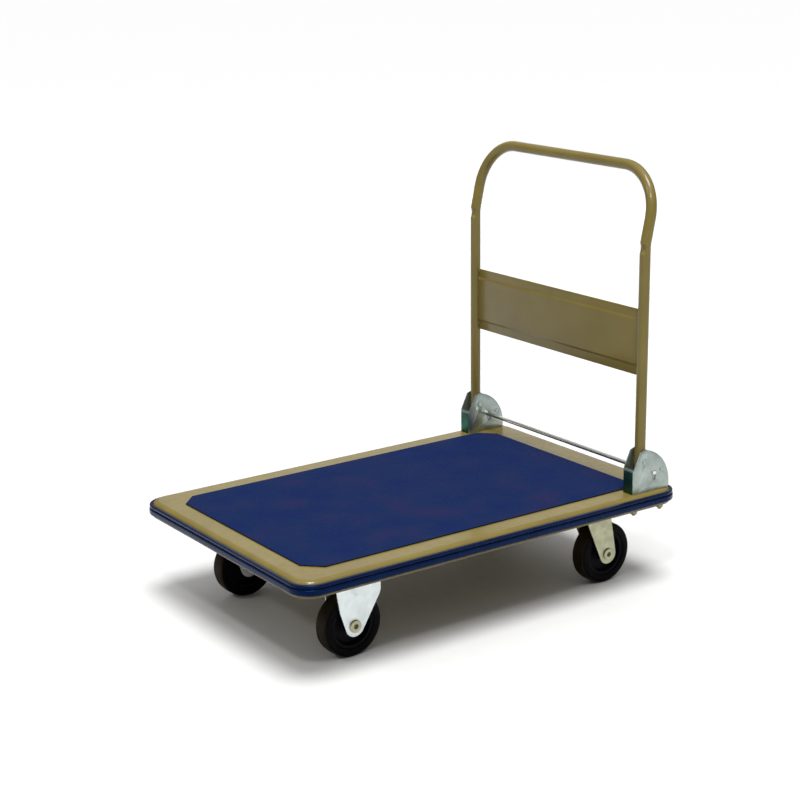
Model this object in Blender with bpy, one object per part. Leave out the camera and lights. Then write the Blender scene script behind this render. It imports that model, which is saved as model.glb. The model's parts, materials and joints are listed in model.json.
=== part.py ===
"""Folding-handle platform trolley: a pressed steel deck on two fixed and two swivel castors.

The front of the trolley is at -X, the push handle stands at the rear, +X, and the floor is Z = 0.
Left and right are those of a person who pushes it, so left is -Y.  All lengths are metres.
"""

import math

import bmesh
import bpy
from mathutils import Vector

# ---- driving dimensions -------------------------------------------------------------------

FIT = 0.0003  # gap between pieces that seat on each other or turn in each other

DECK_LENGTH = 0.930  # over the bumper
DECK_WIDTH = 0.614  # over the bumper
DECK_DEPTH = 0.033  # from the upper face to the underside of the turned-in edge
DECK_SHEET = 0.002
DECK_CORNER = 0.040  # corner radius of the sheet
DECK_EDGE_ROUND = 0.006  # how softly the top turns down into the sides
EDGE_RETURN = 0.045  # width of the turned-in bottom edge

BUMPER_BULGE = 0.0072
BUMPER_HEIGHT = 0.0225
BUMPER_DROP = 0.0055  # top of the bumper below the deck's upper face

MAT_THICKNESS = 0.002
MAT_SIDE_BORDER = 0.050  # bare sheet beside the mat
MAT_FRONT_BORDER = 0.0465
MAT_REAR_BORDER = 0.0655
MAT_CORNER_CUT = 0.034

WHEEL_DIAMETER = 0.130
CASTOR_HEADROOM = 0.050  # from the top of a wheel to the underside of the deck
TYRE_WIDTH = 0.036
TYRE_SHOULDER = 0.004
TREAD_SHOULDER = 0.0064  # from the tyre's side face to its flat tread
RIM_DIAMETER = 0.092
HUB_PROUD = 0.002  # how far the hub stands out beside the tyre
HUB_DIAMETER = 0.034
RIM_WIDTH = 0.030
RIM_THICKNESS = 0.005
DISC_THICKNESS = 0.010
MOULDING_SLANT = 0.0034  # how much the hub and the rim narrow outward
BUSH_DIAMETER = 0.015
AXLE_DIAMETER = 0.010

CASTOR_INSET = 0.1135  # from the deck's side to the wheel planes
FRONT_AXLE_INSET = 0.172  # from the deck's front to the axle
SWIVEL_INSET = 0.162  # from the deck's rear to the upright turning axes
SWIVEL_TRAIL = 0.040
PLATE_LENGTH = 0.105
PLATE_WIDTH = 0.082
PLATE_THICKNESS = 0.004
FORK_SHEET = 0.003
FORK_SIDE_GAP = 0.001  # between the hub and each leg
FORK_TIP_RADIUS = 0.021
FIXED_FORK_FRONT = 0.0445  # reach of a fixed fork's leg ahead of its axle, at the top
FIXED_FORK_BACK = 0.0595
FRONT_KNEE_REACH = 0.0335  # where the front flank turns in towards the tip
FRONT_KNEE_RISE = 0.034  # above the axle
BACK_KNEE_RISE = 0.058
SWIVEL_FORK_FRONT = 0.028  # reach of a swivel fork's crown ahead of its axis
SWIVEL_FORK_BACK = 0.0425
RACE_DIAMETER = 0.058
RACE_HEIGHT = 0.0065
RACE_BORE = 0.0348
RACE_BEVEL = 0.0018
KINGPIN_DIAMETER = 0.012
KINGPIN_HEAD_DIAMETER = 0.021
KINGPIN_HEAD_HEIGHT = 0.006
KINGPIN_HEAD_BEVEL = 0.0022
CROWN_DISC_INSET = 0.0006  # the round middle of a swivel crown is thinner by this on each face

CHANNEL_WIDTH = 0.116
CHANNEL_SHEET = 0.002
RIB_WIDTH = 0.040
RIB_DEPTH = 0.024
RIB_OFFSET = 0.110  # of each rib's middle from the deck's middle

HANDLE_TUBE = 0.022  # outside diameter
HANDLE_WALL = 0.0015
HANDLE_INSET = 0.034  # from the deck's side to an upright's middle
HANDLE_RISE = 0.657  # from the deck to the middle of the top bar
KINK_RISE = 0.503  # from the deck to where the uprights start to lean back
HANDLE_LEAN = math.radians(12.5)
KINK_RADIUS = 0.070
TOP_CORNER_RADIUS = 0.098
PANEL_RISE = 0.241  # from the deck to the panel's lower edge
PANEL_HEIGHT = 0.137
PANEL_SHEET = 0.0015
PANEL_BORDER = 0.018  # height of the set-back strips above and below the raised field
PANEL_SET_BACK = 0.0025
PANEL_SLOPE = 0.003
FOOT_LENGTH = 0.0225  # tube below its pivot
PLUG_FLANGE = 0.0025
PLUG_DEPTH = 0.012

BRACKET_INSET = 0.115  # from the sheet's rear to the brackets' front faces
BRACKET_LENGTH = 0.099
UPRIGHT_BEHIND = 0.0315  # from the brackets' front faces to the uprights' middles
BRACKET_HEIGHT = 0.092
BRACKET_WEB_HEIGHT = 0.047
BRACKET_SHEET = 0.0025
BRACKET_CLEARANCE = 0.00225  # between the tube and each cheek
BRACKET_ROUND = 0.080  # radius of the cheeks' curved back
BRACKET_ROUND_TURN = math.radians(82.0)  # how far that curve turns
SHOULDER_BACK = 0.0194  # from the front faces to the end of the slanted shoulder
SHOULDER_DROP = 0.0041  # below the bracket's top
PIVOT_HEIGHT = 0.065  # above the deck
PIVOT_DIAMETER = 0.008
PIN_HEAD_DIAMETER = 0.012
PIN_HEAD_HEIGHT = 0.0008
PIN_HEAD_BEVEL = 0.0012

LOCK_BAR_DIAMETER = 0.009
LOCK_BAR_TIP = 0.001  # bevel at each end
LOCK_BAR_BEHIND = 0.0255  # behind the uprights' middle
LOCK_BAR_HEIGHT = 0.038  # above the deck
LOCK_TRAVEL = 0.011  # how far a foot presses the bar down
LOCK_BAR_OVERHANG = 0.0025  # past each outer cheek
SLOT_PLAY = 0.0004
CLIP_DIAMETER = 0.013
CLIP_THICKNESS = 0.0012
SPRING_DIAMETER = 0.0085
SPRING_WIRE = 0.0010
SPRING_TURNS = 6
SPRING_PIN_BACK = 0.0795  # behind the bracket's front face
SPRING_PIN_HEIGHT = 0.042
SPRING_PIN_DIAMETER = 0.006
SPRING_PIN_HEAD = 0.0096

BOLT_DIAMETER = 0.008
BOLT_PLACES = (0.0185, 0.0905)  # behind the bracket's front face
BOLT_TAIL = 0.0035  # past its nut
BRACKET_NUT_HEIGHT = 0.014  # long nuts
AXLE_HEAD_DIAMETER = 0.025
AXLE_HEAD_HEIGHT = 0.003
AXLE_HEAD_BEVEL = 0.0012
AXLE_TAIL = 0.0023
HEX_PER_DIAMETER = 1.6  # width across flats of heads and nuts
HEAD_PER_DIAMETER = 0.64
NUT_PER_DIAMETER = 0.80

ROUND_SIDES = 12
TUBE_SIDES = 16
WHEEL_SIDES = 32
HUB_SIDES = 24
CORNER_STEPS = 5

# ---- sizes that follow --------------------------------------------------------------------

PAN_HALF_LENGTH = DECK_LENGTH / 2 - BUMPER_BULGE - FIT
PAN_HALF_WIDTH = DECK_WIDTH / 2 - BUMPER_BULGE - FIT
DECK_UNDERSIDE = WHEEL_DIAMETER + CASTOR_HEADROOM
DECK_TOP = DECK_UNDERSIDE + DECK_DEPTH
SHEET_UNDERSIDE = DECK_TOP - DECK_SHEET
WHEEL_RADIUS = WHEEL_DIAMETER / 2
PLATE_TOP = DECK_UNDERSIDE - FIT
PLATE_UNDERSIDE = PLATE_TOP - PLATE_THICKNESS
HUB_LENGTH = TYRE_WIDTH + 2 * HUB_PROUD
CASTOR_SPACING = DECK_WIDTH - 2 * CASTOR_INSET
FRONT_AXLE_X = FRONT_AXLE_INSET - DECK_LENGTH / 2
SWIVEL_X = DECK_LENGTH / 2 - SWIVEL_INSET
FRONT_PLATE_X = FRONT_AXLE_X + (FIXED_FORK_BACK - FIXED_FORK_FRONT) / 2
FORK_INSIDE = HUB_LENGTH / 2 + FORK_SIDE_GAP
FORK_OUTSIDE = FORK_INSIDE + FORK_SHEET
CROWN_TOP = PLATE_UNDERSIDE - RACE_HEIGHT - 2 * FIT
HANDLE_SPACING = DECK_WIDTH - 2 * HANDLE_INSET
BRACKET_FRONT = PAN_HALF_LENGTH - BRACKET_INSET
HANDLE_X = BRACKET_FRONT + UPRIGHT_BEHIND
BRACKET_BASE = DECK_TOP + FIT
CHEEK_INSIDE = HANDLE_TUBE / 2 + BRACKET_CLEARANCE
CHEEK_OUTSIDE = CHEEK_INSIDE + BRACKET_SHEET
PIVOT_Z = DECK_TOP + PIVOT_HEIGHT
LOCK_BAR_X = HANDLE_X + LOCK_BAR_BEHIND
LOCK_BAR_Z = DECK_TOP + LOCK_BAR_HEIGHT
SIDES = (("left", -1), ("right", 1))


# ---- materials ----------------------------------------------------------------------------

def make_material(name, colour, roughness, metallic=0.0):
    material = bpy.data.materials.new(name)
    material.use_nodes = True
    shader = material.node_tree.nodes["Principled BSDF"]
    shader.inputs["Base Color"].default_value = (*colour, 1.0)
    shader.inputs["Roughness"].default_value = roughness
    shader.inputs["Metallic"].default_value = metallic
    material.diffuse_color = (*colour, 1.0)
    return material


FINISHES = {
    "khaki_paint": ((0.30, 0.22, 0.07), 0.35, 0.0),
    "blue_mat": ((0.012, 0.022, 0.13), 0.65, 0.0),
    "blue_pvc": ((0.008, 0.018, 0.10), 0.30, 0.0),
    "bright_zinc": ((0.60, 0.64, 0.64), 0.32, 0.9),
    "bare_steel": ((0.45, 0.45, 0.43), 0.30, 1.0),
    "black_rubber": ((0.012, 0.012, 0.014), 0.60, 0.0),
    "black_nylon": ((0.015, 0.016, 0.020), 0.45, 0.0),
}


def finish(name, label):
    colour, roughness, metallic = FINISHES[label]
    return make_material(name + "_" + label, colour, roughness, metallic)


# ---- shapes -------------------------------------------------------------------------------

def clear_scene():
    for item in list(bpy.data.objects):
        bpy.data.objects.remove(item, do_unlink=True)


def add_axis(name, place, parent=None):
    """An empty that carries the pieces which move about its place."""
    axis = bpy.data.objects.new(name, None)
    bpy.context.collection.objects.link(axis)
    axis.location = place
    axis.parent = parent
    return axis


def add_piece(name, shape, label, parent=None, smooth=True):
    """Turn a bmesh into a named object with its own material."""
    bmesh.ops.recalc_face_normals(shape, faces=shape.faces)
    mesh = bpy.data.meshes.new(name)
    shape.to_mesh(mesh)
    shape.free()
    piece = bpy.data.objects.new(name, mesh)
    bpy.context.collection.objects.link(piece)
    if smooth:
        mesh.shade_smooth()
        mesh.set_sharp_from_angle(angle=math.radians(35.0))
    if label:
        mesh.materials.append(finish(name, label))
    piece.parent = parent
    return piece


def combine(piece, shape, operation, label):
    """Cut a shape out of a piece, or weld it on, with a hidden helper."""
    helper = add_piece(piece.name + "_" + label, shape, None, piece.parent, smooth=False)
    helper.hide_render = True
    helper.display_type = "WIRE"
    boolean = piece.modifiers.new(label, "BOOLEAN")
    boolean.object = helper
    boolean.operation = operation
    boolean.solver = "EXACT"


def cut(piece, shape, label):
    combine(piece, shape, "DIFFERENCE", label)


def weld(piece, shape, label):
    combine(piece, shape, "UNION", label)


def axis_point(axis, first, second, along):
    """A point whose two flat coordinates lie across the named axis."""
    if axis == "X":
        return (along, first, second)
    if axis == "Y":
        return (first, along, second)
    return (first, second, along)


def prism(axis, outline, low, high):
    """An outline drawn across an axis and pulled along it."""
    shape = bmesh.new()
    lower = [shape.verts.new(axis_point(axis, a, b, low)) for a, b in outline]
    upper = [shape.verts.new(axis_point(axis, a, b, high)) for a, b in outline]
    close_loops(shape, [lower, upper])
    return shape


def close_loops(shape, loops, ring=False):
    """Bridge loops of equally many points; the first and last are capped, or joined in a ring."""
    count = len(loops[0])
    pairs = list(zip(loops, loops[1:]))
    if ring:
        pairs.append((loops[-1], loops[0]))
    for near, far in pairs:
        for index in range(count):
            after = (index + 1) % count
            shape.faces.new((near[index], near[after], far[after], far[index]))
    if not ring:
        shape.faces.new(loops[0])
        shape.faces.new(loops[-1])


def box(low, high):
    outline = [(low[0], low[1]), (high[0], low[1]), (high[0], high[1]), (low[0], high[1])]
    return prism("Z", outline, low[2], high[2])


def circle(radius, centre=(0.0, 0.0), sides=ROUND_SIDES):
    step = 2 * math.pi / sides
    return [
        (centre[0] + radius * math.cos(i * step), centre[1] + radius * math.sin(i * step))
        for i in range(sides)
    ]


def arc(centre, radius, start, end, steps):
    """Points from one angle to another, both ends included."""
    return [
        (
            centre[0] + radius * math.cos(start + (end - start) * i / steps),
            centre[1] + radius * math.sin(start + (end - start) * i / steps),
        )
        for i in range(steps + 1)
    ]


def slot_outline(centre, radius, travel):
    """A round-ended slot that runs upward from its lower centre."""
    top = (centre[0], centre[1] + travel)
    upper = arc(top, radius, 0.0, math.pi, ROUND_SIDES // 2)
    lower = arc(centre, radius, math.pi, 2 * math.pi, ROUND_SIDES // 2)
    return upper + lower


def turned(axis, profile, centre=(0.0, 0.0), sides=ROUND_SIDES):
    """A closed profile of (radius, along) points spun about an axis; it never touches the axis."""
    shape = bmesh.new()
    loops = []
    for index in range(sides):
        angle = 2 * math.pi * index / sides
        loop = []
        for radius, along in profile:
            first = centre[0] + radius * math.cos(angle)
            second = centre[1] + radius * math.sin(angle)
            loop.append(shape.verts.new(axis_point(axis, first, second, along)))
        loops.append(loop)
    close_loops(shape, loops, ring=True)
    return shape


def stacked(axis, levels, centre=(0.0, 0.0), sides=ROUND_SIDES):
    """A solid round piece from (radius, along) levels, flat at both ends."""
    shape = bmesh.new()
    loops = []
    for radius, along in levels:
        ring = circle(radius, centre, sides)
        loops.append([shape.verts.new(axis_point(axis, a, b, along)) for a, b in ring])
    close_loops(shape, loops)
    return shape


def hexagon(diameter, centre=(0.0, 0.0)):
    """The outline of a hexagonal head or nut for a thread of this diameter."""
    return circle(diameter * HEX_PER_DIAMETER / math.sqrt(3.0), centre, 6)


def rounded_rectangle(inset):
    """The deck's outline, moved inward; every inset has the same number of points."""
    half_length = PAN_HALF_LENGTH - inset
    half_width = PAN_HALF_WIDTH - inset
    radius = max(DECK_CORNER - inset, 0.001)
    outline = []
    for quarter, (sign_x, sign_y) in enumerate(((1, 1), (-1, 1), (-1, -1), (1, -1))):
        centre = (sign_x * (half_length - radius), sign_y * (half_width - radius))
        start = quarter * math.pi / 2
        outline += arc(centre, radius, start, start + math.pi / 2, CORNER_STEPS)
    return outline


def deck_loops(shape, profile):
    """One loop around the deck for each (inset, height) of a profile."""
    return [
        [shape.verts.new((x, y, height)) for x, y in rounded_rectangle(inset)]
        for inset, height in profile
    ]


def channel(low, high, sheet, axis):
    """A trough, open at the top, that runs along X or Y."""
    across = 1 if axis == "X" else 0
    left, right = low[across], high[across]
    outline = [
        (left, high[2]),
        (left, low[2]),
        (right, low[2]),
        (right, high[2]),
        (right - sheet, high[2]),
        (right - sheet, low[2] + sheet),
        (left + sheet, low[2] + sheet),
        (left + sheet, high[2]),
    ]
    along = 0 if axis == "X" else 1
    return prism(axis, outline, low[along], high[along])


# ---- the deck -----------------------------------------------------------------------------

def make_deck_pan():
    """A shallow pressed tray, upside down, whose bottom edge is turned in all round."""
    rounding = arc(
        (DECK_EDGE_ROUND, DECK_TOP - DECK_EDGE_ROUND), DECK_EDGE_ROUND,
        math.pi / 2, math.pi, 3,
    )
    inner = arc(
        (DECK_EDGE_ROUND, DECK_TOP - DECK_EDGE_ROUND), DECK_EDGE_ROUND - DECK_SHEET,
        math.pi, math.pi / 2, 3,
    )
    lower_edge = [
        (0.0, DECK_UNDERSIDE + DECK_SHEET),
        (DECK_SHEET, DECK_UNDERSIDE),
        (EDGE_RETURN, DECK_UNDERSIDE),
        (EDGE_RETURN, DECK_UNDERSIDE + DECK_SHEET),
        (DECK_SHEET, DECK_UNDERSIDE + DECK_SHEET),
    ]
    shape = bmesh.new()
    close_loops(shape, deck_loops(shape, rounding + lower_edge + inner))
    pan = add_piece("deck_pan", shape, "khaki_paint")
    for side, sign in SIDES:
        for index, place in enumerate(BOLT_PLACES):
            centre = (BRACKET_FRONT + place, sign * HANDLE_SPACING / 2)
            hole = circle(BOLT_DIAMETER / 2 + FIT, centre)
            shape = prism("Z", hole, DECK_UNDERSIDE - DECK_SHEET, DECK_TOP + DECK_SHEET)
            cut(pan, shape, f"{side}_hole_{index}")


def make_deck_mat():
    front = -PAN_HALF_LENGTH + MAT_FRONT_BORDER
    rear = PAN_HALF_LENGTH - MAT_REAR_BORDER
    half_width = PAN_HALF_WIDTH - MAT_SIDE_BORDER
    cut_off = MAT_CORNER_CUT
    outline = [
        (rear, half_width - cut_off),
        (rear - cut_off, half_width),
        (front + cut_off, half_width),
        (front, half_width - cut_off),
        (front, cut_off - half_width),
        (front + cut_off, -half_width),
        (rear - cut_off, -half_width),
        (rear, cut_off - half_width),
    ]
    base = DECK_TOP + FIT
    shape = prism("Z", outline, base, base + MAT_THICKNESS)
    add_piece("deck_mat", shape, "blue_mat", smooth=False)


def make_edge_bumper():
    """A soft strip round the deck, with a bead above and a deeper one below."""
    top = DECK_TOP - BUMPER_DROP
    height = BUMPER_HEIGHT
    bulge = BUMPER_BULGE
    outside = (
        (0.15, 0.00), (0.55, 0.05), (0.78, 0.16), (0.72, 0.30),
        (0.92, 0.44), (1.00, 0.60), (0.88, 0.80), (0.50, 0.95), (0.15, 1.00),
    )
    profile = [(-FIT - bulge * out, top - height * down) for out, down in outside]
    profile += [(-FIT, top - height), (-FIT, top)]
    shape = bmesh.new()
    close_loops(shape, deck_loops(shape, profile), ring=True)
    add_piece("edge_bumper", shape, "blue_pvc")


def make_under_frame():
    """Two channels that carry the castors, and two ribs between them."""
    top = SHEET_UNDERSIDE - FIT
    half_span = PAN_HALF_WIDTH - EDGE_RETURN - FIT
    middles = {"front": FRONT_PLATE_X, "rear": SWIVEL_X}
    for end, middle in middles.items():
        low = (middle - CHANNEL_WIDTH / 2, -half_span, DECK_UNDERSIDE)
        high = (middle + CHANNEL_WIDTH / 2, half_span, top)
        shape = channel(low, high, CHANNEL_SHEET, "Y")
        add_piece(end + "_cross_channel", shape, "khaki_paint", smooth=False)
    start = FRONT_PLATE_X + CHANNEL_WIDTH / 2 + FIT
    end = SWIVEL_X - CHANNEL_WIDTH / 2 - FIT
    for side, sign in SIDES:
        middle = sign * RIB_OFFSET
        low = (start, middle - RIB_WIDTH / 2, top - RIB_DEPTH)
        high = (end, middle + RIB_WIDTH / 2, top)
        shape = channel(low, high, CHANNEL_SHEET, "X")
        add_piece(side + "_deck_rib", shape, "khaki_paint", smooth=False)


# ---- the handle brackets ------------------------------------------------------------------

def cheek_outline():
    """Upright front edge, slanted shoulder, and a back that is one large arc."""
    front = BRACKET_FRONT
    base = BRACKET_BASE
    arc_centre = (front + BRACKET_LENGTH - BRACKET_ROUND, base + BRACKET_HEIGHT - BRACKET_ROUND)
    curved = arc(arc_centre, BRACKET_ROUND, 0.0, BRACKET_ROUND_TURN, ROUND_SIDES)
    shoulder = (front + SHOULDER_BACK, base + BRACKET_HEIGHT - SHOULDER_DROP)
    return (
        [(front, base), (front + BRACKET_LENGTH, base)]
        + curved
        + [shoulder, (front, base + BRACKET_WEB_HEIGHT)]
    )


def make_bracket(side, middle):
    """A pressed U: two cheeks, a front web between them and a base on the deck."""
    name = side + "_handle_bracket"
    bracket = None
    for part, low, high in (
        ("cheek", middle - CHEEK_OUTSIDE, middle - CHEEK_INSIDE),
        ("other_cheek", middle + CHEEK_INSIDE, middle + CHEEK_OUTSIDE),
    ):
        shape = prism("Y", cheek_outline(), low, high)
        if bracket:
            weld(bracket, shape, part)
        else:
            bracket = add_piece(name, shape, "bright_zinc")
    overlap = CHEEK_INSIDE + BRACKET_SHEET / 2
    back = BRACKET_FRONT + BRACKET_LENGTH
    base_low = (BRACKET_FRONT, middle - overlap, BRACKET_BASE)
    base_high = (back, middle + overlap, BRACKET_BASE + BRACKET_SHEET)
    weld(bracket, box(base_low, base_high), "base")
    web_high = (BRACKET_FRONT + BRACKET_SHEET, middle + overlap, BRACKET_BASE + BRACKET_WEB_HEIGHT)
    weld(bracket, box(base_low, web_high), "web")
    low = middle - 2 * CHEEK_OUTSIDE
    high = middle + 2 * CHEEK_OUTSIDE
    pivot = circle(PIVOT_DIAMETER / 2 + FIT, (HANDLE_X, PIVOT_Z))
    cut(bracket, prism("Y", pivot, low, high), "pivot_hole")
    slot_foot = (LOCK_BAR_X, LOCK_BAR_Z - LOCK_TRAVEL)
    slot = slot_outline(slot_foot, LOCK_BAR_DIAMETER / 2 + SLOT_PLAY, LOCK_TRAVEL)
    cut(bracket, prism("Y", slot, low, high), "lock_slot")
    pin = circle(SPRING_PIN_DIAMETER / 2 + FIT, spring_pin_place())
    cut(bracket, prism("Y", pin, low, high), "pin_hole")
    for index, place in enumerate(BOLT_PLACES):
        hole = circle(BOLT_DIAMETER / 2 + FIT, (BRACKET_FRONT + place, middle))
        shape = prism("Z", hole, DECK_TOP - BRACKET_SHEET, BRACKET_BASE + 2 * BRACKET_SHEET)
        cut(bracket, shape, f"bolt_hole_{index}")


def spring_pin_place():
    return (BRACKET_FRONT + SPRING_PIN_BACK, BRACKET_BASE + SPRING_PIN_HEIGHT)


def riveted_pin(name, place, middle, diameter, head_diameter):
    """A pin across both cheeks, its ends spread to low heads."""
    body = diameter / 2
    head = head_diameter / 2
    face = CHEEK_OUTSIDE + FIT
    end = face + PIN_HEAD_HEIGHT
    levels = [
        (head - PIN_HEAD_BEVEL, middle - end), (head, middle - face), (body, middle - face),
        (body, middle + face), (head, middle + face), (head - PIN_HEAD_BEVEL, middle + end),
    ]
    add_piece(name, stacked("Y", levels, place), "bright_zinc")


def make_bolt(name, centre, seat, length):
    """An upright hexagon bolt whose head stands on its seat."""
    shank = prism("Z", circle(BOLT_DIAMETER / 2, centre), seat - length, seat + FIT)
    bolt = add_piece(name, shank, "bright_zinc")
    head_top = seat + BOLT_DIAMETER * HEAD_PER_DIAMETER
    weld(bolt, prism("Z", hexagon(BOLT_DIAMETER, centre), seat, head_top), "head")


def make_nut(name, axis, centre, seat, direction, diameter, height, parent=None):
    """A hexagon nut that seats at one face and grows along a direction."""
    outer = prism(axis, hexagon(diameter, centre), *sorted((seat, seat + direction * height)))
    nut = add_piece(name, outer, "bright_zinc", parent)
    low, high = sorted((seat - direction * height, seat + 2 * direction * height))
    cut(nut, prism(axis, circle(diameter / 2 + FIT, centre), low, high), "thread")


def make_bracket_fasteners(side, middle):
    seat = BRACKET_BASE + BRACKET_SHEET + FIT
    nut_seat = DECK_UNDERSIDE - FIT
    length = seat - nut_seat + BRACKET_NUT_HEIGHT + BOLT_TAIL
    for label, place in zip(("front", "rear"), BOLT_PLACES):
        centre = (BRACKET_FRONT + place, middle)
        name = f"{side}_bracket_bolt_{label}"
        make_bolt(name, centre, seat, length)
        name = f"{side}_bracket_nut_{label}"
        make_nut(name, "Z", centre, nut_seat, -1, BOLT_DIAMETER, BRACKET_NUT_HEIGHT)


# ---- the handle ---------------------------------------------------------------------------

def handle_path():
    """The tube's middle line from one foot over the top bar to the other, about the pivot."""
    lean_sin, lean_cos = math.sin(HANDLE_LEAN), math.cos(HANDLE_LEAN)
    half = HANDLE_SPACING / 2
    kink_start = KINK_RISE - PIVOT_HEIGHT
    upright = [(0.0, -FOOT_LENGTH)]
    for back, up in arc((KINK_RADIUS, kink_start), KINK_RADIUS, math.pi, math.pi - HANDLE_LEAN, 3):
        upright.append((back, up))
    kink_back, kink_up = upright[-1]
    run = (HANDLE_RISE - PIVOT_HEIGHT - kink_up) / lean_cos
    path = [(x, -half, z) for x, z in upright]
    corner = arc((-half + TOP_CORNER_RADIUS, run - TOP_CORNER_RADIUS), TOP_CORNER_RADIUS,
                 math.pi, math.pi / 2, 7)
    for across, along in corner:
        path.append((kink_back + along * lean_sin, across, kink_up + along * lean_cos))
    return path + [(x, -y, z) for x, y, z in reversed(path)]


def sweep(path, radii):
    """Carry circles of several radii along a path; the loops share their frame."""
    points = [Vector(point) for point in path]
    side = Vector((1.0, 0.0, 0.0))
    frames = []
    for index, point in enumerate(points):
        before = points[max(index - 1, 0)]
        after = points[min(index + 1, len(points) - 1)]
        ahead = (after - before).normalized()
        if 0 < index < len(points) - 1:
            ahead = ((point - before).normalized() + (after - point).normalized()).normalized()
        side = (side - ahead * side.dot(ahead)).normalized()
        frames.append((point, side.copy(), ahead.cross(side)))
    tubes = []
    for radius in radii:
        tubes.append([
            [point + first * a + second * b for a, b in circle(radius, sides=TUBE_SIDES)]
            for point, first, second in frames
        ])
    return tubes


def make_handle(handle):
    """One bent tube, a sheet panel between its uprights and a plug in each foot."""
    outer_radius = HANDLE_TUBE / 2
    bore = outer_radius - HANDLE_WALL
    outer, inner = sweep(handle_path(), (outer_radius, bore))
    shape = bmesh.new()
    loops = [[shape.verts.new(point) for point in loop] for loop in outer + inner[::-1]]
    close_loops(shape, loops, ring=True)
    tube = add_piece("handle_tube", shape, "khaki_paint", handle)
    hole = circle(PIVOT_DIAMETER / 2 + FIT)
    reach = HANDLE_SPACING / 2 + HANDLE_TUBE
    cut(tube, prism("Y", hole, -reach, -reach + 2 * HANDLE_TUBE), "left_pivot_hole")
    cut(tube, prism("Y", hole, reach - 2 * HANDLE_TUBE, reach), "right_pivot_hole")

    half_span = HANDLE_SPACING / 2 - outer_radius - FIT
    bottom = PANEL_RISE - PIVOT_HEIGHT
    top = bottom + PANEL_HEIGHT
    back = PANEL_SHEET / 2
    field_bottom = bottom + PANEL_BORDER
    field_top = top - PANEL_BORDER
    middle_line = [
        (PANEL_SET_BACK, bottom), (PANEL_SET_BACK, field_bottom), (0.0, field_bottom + PANEL_SLOPE),
        (0.0, field_top - PANEL_SLOPE), (PANEL_SET_BACK, field_top), (PANEL_SET_BACK, top),
    ]
    outline = [(x + back, z) for x, z in middle_line]
    outline += [(x - back, z) for x, z in reversed(middle_line)]
    add_piece("handle_panel", prism("Y", outline, -half_span, half_span), "khaki_paint", handle)

    end = -FOOT_LENGTH
    for side, sign in SIDES:
        levels = [
            (outer_radius, end - PLUG_FLANGE - FIT),
            (outer_radius, end - FIT),
            (bore - FIT, end - FIT),
            (bore - FIT, end + PLUG_DEPTH),
        ]
        shape = stacked("Z", levels, (0.0, sign * HANDLE_SPACING / 2))
        add_piece(side + "_foot_plug", shape, "black_nylon", handle)


def make_lock_bar(lock):
    """A straight bar through both brackets, kept in place by a clip inside each outer cheek."""
    half = HANDLE_SPACING / 2 + CHEEK_OUTSIDE + LOCK_BAR_OVERHANG
    tip = LOCK_BAR_TIP
    radius = LOCK_BAR_DIAMETER / 2
    levels = [(radius - tip, -half), (radius, tip - half), (radius, half - tip), (radius - tip, half)]
    add_piece("lock_bar", stacked("Y", levels), "bare_steel", lock)
    inner = radius + FIT
    outer = CLIP_DIAMETER / 2
    face = HANDLE_SPACING / 2 + CHEEK_INSIDE - 2 * FIT
    for side, sign in SIDES:
        near, far = sign * (face - CLIP_THICKNESS), sign * face
        profile = [(inner, near), (outer, near), (outer, far), (inner, far)]
        add_piece(side + "_bar_clip", turned("Y", profile), "bright_zinc", lock)


def make_lock_spring(side, middle):
    """A coil that stands on the bracket's base and holds the bar up in its slots."""
    base = BRACKET_BASE + BRACKET_SHEET + FIT + SPRING_WIRE / 2
    top = LOCK_BAR_Z - LOCK_BAR_DIAMETER / 2 - FIT - SPRING_WIRE / 2
    radius = (SPRING_DIAMETER - SPRING_WIRE) / 2
    steps = 8
    path = []
    for index in range(SPRING_TURNS * steps + 1):
        angle = 2 * math.pi * index / steps
        rise = (top - base) * index / (SPRING_TURNS * steps)
        place = (LOCK_BAR_X + radius * math.cos(angle), middle + radius * math.sin(angle))
        path.append((*place, base + rise))
    shape = bmesh.new()
    loops = []
    for index, point in enumerate(path):
        angle = 2 * math.pi * index / steps
        outward = Vector((math.cos(angle), math.sin(angle), 0.0))
        ring = circle(SPRING_WIRE / 2, sides=5)
        loops.append([
            shape.verts.new(Vector(point) + outward * a + Vector((0.0, 0.0, b))) for a, b in ring
        ])
    close_loops(shape, loops)
    add_piece(side + "_lock_spring", shape, "bare_steel")


# ---- the castors --------------------------------------------------------------------------

def make_wheel(name, wheel):
    """A solid tyre on a moulded centre with a plain bore."""
    rim = RIM_DIAMETER / 2
    half_tyre = TYRE_WIDTH / 2
    half_tread = half_tyre - TREAD_SHOULDER
    crown = WHEEL_RADIUS
    profile = [
        (rim + FIT, -RIM_WIDTH / 2),
        (rim + TYRE_SHOULDER, -half_tyre),
        (crown - TYRE_SHOULDER, -half_tyre),
        (crown, -half_tread),
        (crown, half_tread),
        (crown - TYRE_SHOULDER, half_tyre),
        (rim + TYRE_SHOULDER, half_tyre),
        (rim + FIT, RIM_WIDTH / 2),
    ]
    add_piece(name + "_tyre", turned("Y", profile, sides=WHEEL_SIDES), "black_rubber", wheel)
    bore = BUSH_DIAMETER / 2 + FIT
    hub = HUB_DIAMETER / 2
    half_hub = HUB_LENGTH / 2
    half_disc = DISC_THICKNESS / 2
    half_rim = RIM_WIDTH / 2
    lip = rim - RIM_THICKNESS
    slant = MOULDING_SLANT
    profile = [
        (bore, -half_hub), (hub - slant, -half_hub), (hub, -half_disc), (lip - slant, -half_disc),
        (lip, -half_rim), (rim, -half_rim), (rim, half_rim), (lip, half_rim),
        (lip - slant, half_disc), (hub, half_disc), (hub - slant, half_hub), (bore, half_hub),
    ]
    add_piece(name + "_wheel_centre", turned("Y", profile, sides=HUB_SIDES), "black_nylon", wheel)


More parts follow.
